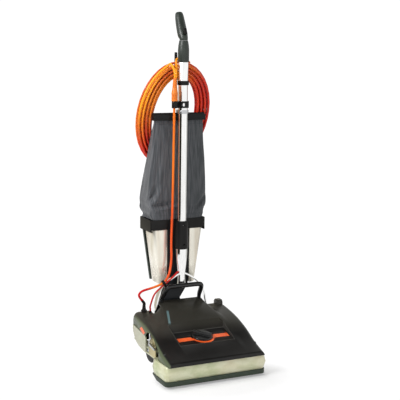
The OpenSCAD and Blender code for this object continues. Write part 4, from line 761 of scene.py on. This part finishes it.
# from the tube's foot, through the fork's clip and down into the hood
def switchRoute():
    low = lowest("switch_lead")
    thin = [Vector(p) for p in ((-13.4, 273.5, 303), (-18.6, 271, 302.6), (-30, 267.3, 294), (-45, 266, 283))]
    thin += [neckClip + s * clipWay for s in (8, 0, -8)]
    thin += [Vector(p) for p in ((-84, 266, 254.5), (-95, 267, 245), (-106, 269, 229))]
    thin += [Vector((-116, 272, low + rise)) for rise in (16.8, 6.8, 0)]
    return onBench(smoothed(thin, 6))


def makeCord(name, sort, route, jacketName, body, slot, *stoodFor):
    cord = sweep(name, route, cordSizes[sort] / 2000, cordSizes["sides"])
    shaded(cord, 60)
    return dress(cord, jacketName, body, slot, *stoodFor)


def makeCords():
    routes = {"supplyCord": supplyRoute(), "leadLoop": loopRoute(), "tubeLead": tubeRoute(),
              "switchLead": switchRoute()}
    supply = makeCord("supplyCord", "supply", routes["supplyCord"], "coilJacket", "handle", "cord_orange",
                      "cord_rise", "cord_coil", "plug_cord")
    loop = makeCord("leadLoop", "supply", routes["leadLoop"], "loopJacket", None, "cord_orange", "lead_loop")
    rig.blend(loop, "base", "handle", start=mm(-142, 284, 212), end=mm(*(clipAt - 8 * clipWay)))
    upright = makeCord("tubeLead", "supply", routes["tubeLead"], "leadJacket", "handle", "cord_orange", "tube_lead")
    thin = makeCord("switchLead", "switch", routes["switchLead"], "redJacket", None, "cord_red", "switch_lead")
    low = lowest("switch_lead")
    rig.blend(thin, "base", "handle", start=mm(-113, 271, low + 8), end=mm(*(neckClip - 10 * clipWay)))
    return {"supplyCord": supply, "leadLoop": loop, "tubeLead": upright, "switchLead": thin}, routes


# moulded plug standing in its clip: grip with finger ribs, then a grooved strain relief up the cord
plugForm = {"foot": (-36, 267, 877.3), "ribs": 6, "grooves": 7, "relief": (7.9, 6.1), "flattened": 0.8}


def makePlug():
    form = plugForm
    profile = [(0, 0), (9.2, 0), (10.4, 0.6), (11, 2)]
    for k in range(form["ribs"]):
        z = 5 + 3 * k
        profile += [(11, z), (10.2, z + 0.7), (10.2, z + 1.5), (11, z + 2.2)]
    profile += [(11, 23.5), (10.4, 28), (8.6, 37), (8, 42)]
    for k in range(form["grooves"]):
        z, r = 42 + 4.5 * k, mix(*form["relief"], k / (form["grooves"] - 1))
        profile += [(r, z + 0.4), (r, z + 3.0), (r - 1.3, z + 3.5), (r - 1.3, z + 4.1)]
    profile += [(6, 74), (5.6, 75), (0, 75)]
    foot = mm(*form["foot"])
    plug = turned("supplyPlug", profile, 40, foot)
    for vertex in plug.data.vertices:            # flattened sides of the grip
        share = ease((foot.z + 0.034 - vertex.co.z) / 0.02)
        vertex.co.y = foot.y + (vertex.co.y - foot.y) * mix(1, form["flattened"], share)
    shaded(plug, 28)
    return dress(plug, "plugOrange", "handle", "cord_orange", "cord_plug")


# grooved sleeve that carries the supply lead out of its gland, in metres
reliefForm = {"length": 0.030, "foot": 0.0058, "tip": 0.0046, "groove": 0.00045, "grooves": 6.5}


def makeRelief(route):
    form = reliefForm
    sleeve = [p for p in route if (p - route[0]).length < form["length"]]
    fine = [a.lerp(b, k / 6) for a, b in zip(sleeve, sleeve[1:]) for k in range(6)]

    def radius(share):
        grooved = (share * form["grooves"]) % 1 > 0.62
        return mix(form["foot"], form["tip"], share) - (form["groove"] if grooved else 0)

    relief = sweep("leadRelief", fine + [sleeve[-1]], radius, 24)
    shaded(relief, 30)
    return dress(relief, "blackPlastic", "base", "black_plastic")


cords, routes = makeCords()
plug = makePlug()
makeRelief(routes["leadLoop"])
nodes["plug_pins"].data.materials.clear()
nodes["plug_pins"].data.materials.append(finishes["brass"])
for name, far, lay, sort, extra in (
        ("supplyCord", "plug", "coiled", "supply", [plug, nodes["plug_pins"]]),
        ("tubeLead", "object", "taut", "supply", []), ("leadLoop", "object", "hanging", "supply", []),
        ("switchLead", "object", "hanging", "switch", [])):
    route = routes[name]
    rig.cord(cords[name], exit=route[0], length=pathLength(route), diameter=cordSizes[sort] / 1000, far_end=far,
            stiffness="medium", lay=lay, path=route, with_pieces=extra)
print("cords laid: supply", round(pathLength(routes["supplyCord"]), 2), "m")


# rounded copy of a node's own shape
def softened(name, finish, width):
    work = bmesh.new()
    work.from_mesh(nodes[name].data)
    bmesh.ops.remove_doubles(work, verts=work.verts, dist=0.00002)
    bmesh.ops.dissolve_limit(work, angle_limit=math.radians(0.6), verts=work.verts, edges=work.edges)
    first, *others = name.split("_")
    label = first + "".join(word.title() for word in others)
    piece = workedPiece(label, work)
    rounded(piece, width, 33)
    return dress(piece, finish, bodyOf[name], slotOf[name], name)


# pieces whose shape stays: finish, edge radius in millimetres, nodes
rounding = [
    ("silverPaint", 1.0, ["base_housing"]),
    ("hoodPlastic", 1.4, ["hood"]),
    ("bumperRubber", 0.8, ["bumper"]),
    ("blackPlastic", 1.0, ["rim_band", "tube_clamp", "bag_clip"]),
    ("blackPlastic", 0.5, ["cord_hook", "cord_clip", "lead_clip", "dial_bush", "cord_gland"]),
    ("dialPlastic", 0.5, ["height_dial", "carry_handle"]),
    ("gripPlastic", 0.5, ["grip", "grip_cuff"]), ("blackPlastic", 0.4, ["switch_rocker"]),
    ("ductPlastic", 0.7, ["air_duct", "exhaust_elbow", "fan_housing"]),
    ("backPlastic", 1.0, ["cup_back"]),
    ("cupSilver", 0.6, ["dust_cup"]),
    ("chrome", 0.4, ["handle_fork", "handle_tube"]),
    ("wheelRubber", 0.8, ["rear_wheel_left", "rear_wheel_right", "front_wheel_left", "front_wheel_right"]),
    ("steel", 0.4, ["release_lever", "bag_hanger", "cup_latch", "pivot_pins", "pivot_brackets"]),
    ("zinc", 0.4, ["release_bracket"]),
    ("darkSteel", 0.3, ["hood_screws"]),
]
for finish, width, names in rounding:
    for name in names:
        softened(name, finish, width)
print("rounded pieces:", sum(len(names) for _, _, names in rounding))

# pieces inside that keep their node's mesh
plain = {"steel": ["bottom_plate", "front_carriage", "front_axle", "rear_axle", "motor_housing", "motor_field",
                   "motor_bearings", "rotor_shaft", "drive_pulley"],
         "rollMetal": ["suction_fan", "brush_roll"], "blackPlastic": ["intake_duct", "brush_caps"],
         "wheelRubber": ["drive_belt", "cup_seal"]}
for finish, names in plain.items():
    for name in names:
        mesh = nodes[name].data
        mesh.materials.clear()
        mesh.materials.append(finishes[finish])


# bag: a lofted sleeve of cloth that hangs from its clip and gathers over the rim, in millimetres
bag = {"rimFront": 303.5, "rimWidth": 203, "rimDepth": 102, "low": 479.3, "top": 824, "width": 218,
       "topWidth": 180, "topDepth": 8, "rows": 160, "around": 224, "wall": 1.4, "corner": 0.25, "hems": 1.04,
       "gathers": (2.6, 1.6), "slack": (0.8, 0.6)}


# half width and rear reach of the sleeve, as smooth curves over the share of its height
def bagCurves():
    rim, wide, top = (bag[key] / 2 for key in ("rimWidth", "width", "topWidth"))
    deep, thin = bag["rimDepth"], bag["topDepth"] + 6
    half = ((0, rim - 5), (0.04, rim - 3), (0.12, wide - 2), (0.21, wide), (0.4, mix(wide, top, 0.2)),
            (0.7, mix(wide, top, 0.62)), (0.94, top), (1, top))
    rear = ((0, deep - 4), (0.1, deep - 4), (0.25, deep - 9), (0.5, deep * 0.68), (0.8, deep * 0.32), (0.94, thin),
            (1, thin))
    return [[tuple(p) for p in smoothed([Vector(pair) for pair in pairs], 4)] for pairs in (half, rear)]


bagHalf, bagRear = bagCurves()

# folds in the cloth: bench x and z of the middle, tilt from upright in degrees, half length, half width, depth
folds = {
    "front": [(-97, 556, 30, 36, 9, 15.0), (-62, 531, 86, 48, 9, 13.0), (-80, 620, 6, 60, 9, 3.0),
              (86, 536, 37, 32, 8, 10.0), (88, 600, 12, 60, 9, 3.0), (30, 505, 70, 42, 7, 3.5),
              (-40, 690, 4, 100, 13, 3.2), (54, 720, -5, 90, 11, 2.8), (5, 600, 8, 90, 12, 2.0),
              (-62, 770, -6, 50, 8, 2.2), (24, 780, 5, 45, 8, 2.0)],
    "rear": [(-60, 540, -40, 60, 8, 4.0), (40, 560, 30, 60, 8, 4.0), (0, 660, 5, 100, 10, 2.5),
             (-40, 730, -8, 70, 7, 2.0), (55, 700, 6, 80, 8, 2.0), (10, 505, 80, 50, 6, 3.0)],
}


# each fold is a valley with a lower ridge beside it
def foldDepth(side, x, z):
    depth = 0.0
    for middle, height, tilt, long, wide, deep in folds[side]:
        lean = math.radians(tilt)
        along = ((x - middle) * math.sin(lean) + (z - height) * math.cos(lean)) / long
        beside = ((x - middle) * math.cos(lean) - (z - height) * math.sin(lean)) / wide
        if abs(along) < 2.4 and abs(beside) < 3.2:
            ridge = 0.45 * math.exp(-(beside - 1.5) ** 2)
            depth += deep * math.exp(-along * along) * (math.exp(-beside * beside) - ridge)
    return depth


# point k round the sleeve at the share t of its height: rounded rectangle, gathered at the rim, slack below the clip
def bagPoint(t, k):
    front = bag["rimFront"] + mix(2, 6, min(1, t / 0.94)) - 3 * math.sin(math.pi * ease(t * 2.6))
    rear = bag["rimFront"] + heightAt(bagRear, t)
    half, deep = heightAt(bagHalf, t), (rear - front) / 2
    low, top = 1 - ease((t - 0.02) / 0.22), ease((t - 0.8) / 0.15)
    share = k / bag["around"]
    angle = math.tau * share
    c, s = math.cos(angle), math.sin(angle)
    px = math.copysign(abs(c) ** bag["corner"], c)
    py = math.copysign(abs(s) ** bag["corner"], s)
    fold = -1.5 * (1 - top) * math.exp(-(s / 0.35) ** 2) * min(1, deep / 30)
    (tight, broad), (first, second) = bag["gathers"], bag["slack"]
    gather = low * (tight * math.sin(math.tau * (t * 9 + 3.2 * share)) + broad * math.cos(angle * 7))
    loose = (1 - top) * (first * math.sin(angle * 5 + t * 7) + second * math.sin(angle * 11 - t * 13)) * ease(t / 0.1)
    x = (half - 0.6 + fold + (gather + loose) * (1 if abs(c) > 0.8 else 0.4)) * px
    z = mix(bag["low"], bag["top"] - 1, t)
    dent = foldDepth("front" if s < 0 else "rear", x, z) * (1 - top) * ease(t / 0.05)
    held = min(1.0, deep / 12)
    y = (front + rear) / 2 + (deep - 0.6 + gather * (0.9 if s > 0 else 0) + loose * 0.7 - dent * held) * py
    return mm(x, y, z)


def makeBag():
    shares = [row / bag["rows"] for row in range(bag["rows"] + 1)]
    rings = [[bagPoint(t, k) for k in range(bag["around"])] for t in shares]
    girths = []
    for ring in rings:
        gone = [0.0]
        for a, b in zip(ring, ring[1:] + ring[:1]):
            gone.append(gone[-1] + (b - a).length)
        girths.append(gone)
    height = (bag["top"] - bag["low"]) / 1000
    widest = max(gone[-1] for gone in girths)
    # stripes run straight up the cloth, so each corner's place across comes from one ring
    across = girths[len(girths) // 4]
    cloth = ringPiece("bagCloth", rings, lambda row, k: (across[k], height * row / bag["rows"]), False)
    area = sum(face.area for face in cloth.data.polygons)
    wall = cloth.modifiers.new("wall", "SOLIDIFY")
    wall.thickness, wall.offset = bag["wall"] / 1000, -1
    settled(cloth, 60)
    dress(cloth, "bagCloth", "handle", "bag_cloth", "bag")
    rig.sheet(cloth, flat=(round(widest, 3), round(height * bag["hems"], 3)), held="hung",
             rests_on=["bag_clip", "rim_band"], area=round(area, 4))
    return rings


bagRings = makeBag()
print("bag hung")


# geometry nodes: a tree with a named input for each value, and one for its material
class Pattern(Build):
    def __init__(self, name, values, finish):
        tree = bpy.data.node_groups.new(name, "GeometryNodeTree")
        super().__init__(tree)
        tree.interface.new_socket("Geometry", in_out="INPUT", socket_type="NodeSocketGeometry")
        self.kept = {}
        for label, value in {**values, "material": finishes[finish]}.items():
            kind = {int: "Int", float: "Float"}.get(type(value), "Material")
            socket = tree.interface.new_socket(label, in_out="INPUT", socket_type="NodeSocket" + kind)
            self.kept[socket.identifier] = value
        tree.interface.new_socket("Geometry", in_out="OUTPUT", socket_type="NodeSocketGeometry")
        self.entry = tree.nodes.new("NodeGroupInput")

    def given(self, label):
        return Wire(self, self.entry.outputs[label])

    # ends the tree, runs it on a piece and keeps the plain mesh
    def applied(self, shape, piece):
        whole = self.node("GeometryNodeRealizeInstances", None, {0: shape})
        painted = self.node("GeometryNodeSetMaterial", None, {"Geometry": whole, "Material": self.given("material")})
        self.node("NodeGroupOutput", None, {0: painted})
        modifier = piece.modifiers.new("pattern", "NODES")
        modifier.node_group = self.tree
        for identifier, value in self.kept.items():
            modifier[identifier] = value
        return settled(piece, 50)


# nylon strands in tufts along the brush roll: strand sizes in metres, roll in bench millimetres
tufts = {"strands": 22, "spread": 0.0021, "length": 0.0108, "thick": 0.00042, "seed": 7, "splay": 70.0}
roll = {"y": 42, "z": 34, "radius": 20.1, "half": 178, "bare": 44, "step": 44, "spaced": 0.27, "twist": 80}


# roots of the tufts and the ways they point: two rows that twist round the roll
def tuftRoots():
    roots, ways = [], []
    for row in (0, 180):
        for k in range(-3, 4):
            for step in (-1, 0, 1):
                x = (k + step * roll["spaced"]) * roll["step"]
                if x < roll["half"] - roll["bare"]:
                    angle = math.radians(row + roll["twist"] * abs(x) / roll["half"])
                    way = Vector((0, math.sin(angle), -math.cos(angle)))
                    roots.append(mm(x, roll["y"], roll["z"]) + way * roll["radius"] / 1000)
                    ways.append(way)
    return roots, ways


def makeBristles():
    roots, ways = tuftRoots()
    piece = meshPiece("brushTufts", roots, [])
    outward = piece.data.attributes.new("outward", "FLOAT_VECTOR", "POINT")
    for entry, way in zip(outward.data, ways):
        entry.vector = way
    pattern = Pattern("tufts", tufts, "bristleNylon")
    node, given, seed = pattern.node, pattern.given, pattern.given("seed")
    copies = node("GeometryNodeDuplicateElements", {"domain": "POINT"},
                  {"Geometry": given("Geometry"), "Amount": given("strands")})
    spot = node("FunctionNodeRandomValue", {"data_type": "FLOAT_VECTOR"}, {0: (-1, -1, -1), 1: (1, 1, 1), "Seed": seed})
    offset = node("ShaderNodeVectorMath", {"operation": "SCALE"}, {0: spot, "Scale": given("spread")})
    way = node("GeometryNodeInputNamedAttribute", {"data_type": "FLOAT_VECTOR"}, {"Name": "outward"})
    along = node("ShaderNodeVectorMath", {"operation": "PROJECT"}, {0: offset, 1: way})
    flat = node("ShaderNodeVectorMath", {"operation": "SUBTRACT"}, {0: offset, 1: along})
    placed = node("GeometryNodeSetPosition", None, {"Geometry": copies, "Offset": flat})
    fan = node("ShaderNodeVectorMath", {"operation": "SCALE"}, {0: flat, "Scale": given("splay")})
    splayed = node("ShaderNodeVectorMath", {"operation": "ADD"}, {0: way, 1: fan})
    facing = node("FunctionNodeAlignRotationToVector", {"axis": "Z"}, {"Vector": splayed})
    strand = node("GeometryNodeMeshCone", None, {"Vertices": 5, "Radius Top": given("thick") * 0.5,
                                                 "Radius Bottom": given("thick"), "Depth": given("length")})
    tall = node("FunctionNodeRandomValue", {"data_type": "FLOAT"}, {2: 0.93, 3: 1.0, "Seed": seed}, 1)
    size = node("ShaderNodeCombineXYZ", None, {0: 1.0, 1: 1.0, 2: tall})
    tuft = node("GeometryNodeInstanceOnPoints", None,
                {"Points": placed, "Instance": strand, "Rotation": facing, "Scale": size})
    pattern.applied(tuft, piece)
    dress(piece, "bristleNylon", "brush", "bristle", "bristles")


# rows of stitches in the bag's cloth: beside both side seams, and along the hem under the clip; sizes in metres
thread = {"spacing": 0.0042, "length": 0.0029, "thick": 0.00042}
seams = {"proud": 0.0004, "columns": (9, 12), "end": 0.93, "hems": (0.045, 0.935), "bagMiddle": 340}



# one line of points for each row, with the place that it bulges away from
def stitchLines():
    rows, around = bag["rows"], bag["around"]
    lines = []
    for k in [*seams["columns"], *(around // 2 - column for column in seams["columns"])]:
        line = [bagRings[i][k] for i in range(4, int(rows * seams["end"]), 2)]
        lines.append((line, mm(0, seams["bagMiddle"], 0).y))
    for share in seams["hems"]:
        ring = bagRings[int(rows * share)]
        line = ring + ring[:1]
        lines.append((line, (sum(line, Vector()) / len(line)).y))
    return lines


def makeStitches():
    points, edges = [], []
    for line, middle in stitchLines():
        first = len(points)
        points += [p + Vector((p.x, p.y - middle, 0)).normalized() * seams["proud"] for p in line]
        edges += [(first + i, first + i + 1) for i in range(len(line) - 1)]
    piece = meshPiece("bagStitches", points, [], edges=edges)
    pattern = Pattern("stitches", thread, "stitchThread")
    given = pattern.given
    path = pattern.node("GeometryNodeMeshToCurve", None, {"Mesh": given("Geometry")})
    dots = pattern.node("GeometryNodeCurveToPoints", {"mode": "LENGTH"}, {"Curve": path, "Length": given("spacing")})
    turn = Wire(pattern, dots.socket.node.outputs["Rotation"])
    stitch = pattern.node("GeometryNodeMeshCylinder", None,
                          {"Vertices": 6, "Radius": given("thick"), "Depth": given("length")})
    sewn = pattern.node("GeometryNodeInstanceOnPoints", None, {"Points": dots, "Instance": stitch, "Rotation": turn})
    pattern.applied(sewn, piece)
    dress(piece, "stitchThread", "handle", "bag_cloth")


makeBristles()
makeStitches()
print("tufts and stitches made")


# orange trim on the hood: a stripe across the recess floor, an arc round the dial, a short stripe on the left side;
# places and sizes in bench millimetres
recess = {"front": 69, "low": 113.0, "slope": 0.2, "dial": 112, "proud": 0.35}
trim = {"thick": 0.25, "ends": (-91, 92), "stripe": (93.5, 114.5), "gap": 39.5, "arc": (188, 352), "inner": 37.2,
        "outer": 37.6, "swell": 5.2, "margin": 0.6, "side": -172.35, "sideBow": 6,
        "mark": ((236, 134), (218, 144), (187, 132), (204, 122.5))}


def recessZ(y):
    return recess["low"] + recess["slope"] * (y - recess["front"]) + recess["proud"]


def besideDial(reach, angle):
    return reach * math.cos(angle), recess["dial"] + reach * math.sin(angle)


def trimPlate(name, outline):
    work = bmesh.new()
    work.faces.new([work.verts.new(p) for p in outline])
    bmesh.ops.triangulate(work, faces=work.faces)
    plate = workedPiece(name, work)
    wall = plate.modifiers.new("wall", "SOLIDIFY")
    wall.thickness, wall.offset = trim["thick"] / 1000, -1
    dress(settled(plate), "trimOrange", "base", "hood_plastic")


# each half of the stripe ends in a hollow round the dial
def makeStripes():
    front, rear = trim["stripe"]
    low, high = (math.asin((y - recess["dial"]) / trim["gap"]) for y in (front, rear))
    hollow = [besideDial(trim["gap"], mix(low, high, i / 8)) for i in range(9)]
    for side, end, name in zip((-1, 1), trim["ends"], ("stripeLeft", "stripeRight")):
        plan = [(end, front)] + [(side * x, y) for x, y in hollow] + [(end, rear)]
        trimPlate(name, [mm(x, y, recessZ(y)) for x, y in plan[::-side]])


# the arc swells towards its middle, and stays on the recess floor
def makeDialArc():
    inner, outer = [], []
    for i in range(41):
        angle = math.radians(mix(*trim["arc"], i / 40))
        swell = trim["swell"] * math.sin(math.pi * i / 40) ** 0.6
        inner.append(besideDial(trim["inner"], angle))
        outer.append(besideDial(trim["outer"] + swell, angle))
    plan = [(x, max(y, recess["front"] + trim["margin"])) for x, y in outer + inner[::-1]]
    trimPlate("dialArc", [mm(x, y, recessZ(y) + 0.1) for x, y in plan])


makeStripes()
makeDialArc()
trimPlate("sideMark", [mm(trim["side"] + trim["sideBow"] * (y / 300) ** 2, y, z) for y, z in trim["mark"]])
print("trim laid")


# stage: pale floor, soft lights, and cards that only gloss sees
def bareMaterial(name):
    material = bpy.data.materials.new(name)
    material.use_nodes = True
    material.node_tree.nodes.clear()
    return material, Build(material.node_tree)


# 1 for rays of the kinds named
def rays(build, *kinds):
    return sum(build.node("ShaderNodeLightPath", output=kind) for kind in kinds)


# the floor glows white away from the object, and keeps the soft shadow below its front edge
floor = {"size": 12.0, "grey": 0.84, "glow": 1.06, "near": 0.25, "from": 0.10, "to": 0.20, "stretch": (0.62, 1, 1),
         "shift": (-0.01, 0.20, 0)}
sky = {"seen": 1.06, "gloss": 1.1, "ceiling": (0.50, 0.80), "ceilingDark": 1.06, "light": 0.40}


def makeFloor():
    half = floor["size"]
    corners = [(-half, -half, 0), (half, -half, 0), (half, half, 0), (-half, half, 0)]
    ground = meshPiece("floor", corners, [[0, 1, 2, 3]])
    material, build = bareMaterial("floorWhite")
    matt = build.node("ShaderNodeBsdfDiffuse", None, {"Color": (floor["grey"],) * 3 + (1,)})
    glow = build.node("ShaderNodeEmission", None, {"Color": (1, 1, 1, 1), "Strength": floor["glow"]})
    spot = build.node("ShaderNodeTexCoord", output="Object")
    stretched = build.node("ShaderNodeVectorMath", {"operation": "MULTIPLY_ADD"},
                           {0: spot, 1: floor["stretch"], 2: floor["shift"]})
    away = build.node("ShaderNodeVectorMath", {"operation": "LENGTH"}, {0: stretched}, "Value")
    share = away.step(floor["from"], floor["to"]) * (1 - floor["near"]) + floor["near"]
    seen = rays(build, "Is Camera Ray", "Is Glossy Ray", "Is Transmission Ray") * share
    both = build.node("ShaderNodeMixShader", None, {0: seen, 1: matt, 2: glow})
    build.node("ShaderNodeOutputMaterial", None, {"Surface": both})
    ground.data.materials.append(material)
    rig.stage(ground)


# the sky is white where it is seen; gloss alone sees a dark ceiling
def makeSky():
    world = bpy.data.worlds.new("studio")
    bpy.context.scene.world = world
    world.use_nodes = True
    world.node_tree.nodes.clear()
    build = Build(world.node_tree)
    seen = rays(build, "Is Camera Ray", "Is Transmission Ray")
    gloss = rays(build, "Is Glossy Ray")
    height = build.node("ShaderNodeSeparateXYZ", None, {0: build.node("ShaderNodeTexCoord")}, 2)
    mirrored = sky["gloss"] - height.step(*sky["ceiling"]) * sky["ceilingDark"]
    strength = seen * sky["seen"] + gloss * mirrored + (1 - seen - gloss) * sky["light"]
    backdrop = build.node("ShaderNodeBackground", None, {"Color": (1, 1, 1, 1), "Strength": strength})
    build.node("ShaderNodeOutputWorld", None, {"Surface": backdrop})


# soft lamps: place and aim in metres, size, power
lamps = {"key": ((-2.9, -0.7, 2.3), (0, 0, 0.4), 1.5, 95), "fill": ((0.6, -2.9, 1.3), (0, 0, 0.5), 1.4, 18),
         "above": ((-0.2, 0.6, 3.2), (0, 0, 0.3), 1.6, 36)}
# curved cards: directions seen from the object in degrees, where -26 faces the camera; distance, tone
cards = {"sideTan": (-215, -105, 1.15, (0.56, 0.52, 0.42)), "narrowDark": (-106, -54, 1.05, (0.016, 0.011, 0.006)),
         "rightGrey": (78, 150, 1.15, (0.62, 0.62, 0.60))}


def makeLamps():
    for name, (place, aim, size, power) in lamps.items():
        lamp = bpy.data.lights.new(name, "AREA")
        lamp.shape, lamp.size, lamp.energy = "DISK", size, power
        holder = bpy.data.objects.new(name, lamp)
        way = Vector(place) - Vector(aim)
        holder.visible_glossy = name == "key"
        holder.matrix_world = Matrix.Translation(place) @ way.to_track_quat("Z", "Y").to_matrix().to_4x4()
        bpy.context.scene.collection.objects.link(holder)


def makeCards():
    for name, (first, last, away, tone) in cards.items():
        turns = [math.radians(mix(first, last, i / 8)) for i in range(9)]
        rows = [[Vector((math.sin(turn) * away, -math.cos(turn) * away, z)) for turn in turns] for z in (0.01, 1.1)]
        faces = [[i, i + 1, i + 10, i + 9] for i in range(8)]
        card = meshPiece(name, rows[0] + rows[1], faces)
        material, build = bareMaterial(name)
        glow = build.node("ShaderNodeEmission", None, {"Color": (*tone, 1), "Strength": 1.0})
        build.node("ShaderNodeOutputMaterial", None, {"Surface": glow})
        card.data.materials.append(material)
        card.visible_camera = card.visible_diffuse = card.visible_shadow = card.visible_transmission = False
        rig.stage(card)


makeFloor()
makeSky()
makeLamps()
makeCards()
bpy.context.scene.view_settings.view_transform = "Standard"
print("stage set")

with open("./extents.json", "w") as sizes:
    json.dump({"cad": [list(corner) for corner in cadBox], "visual": [list(corner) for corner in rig.bounds()]}, sizes)
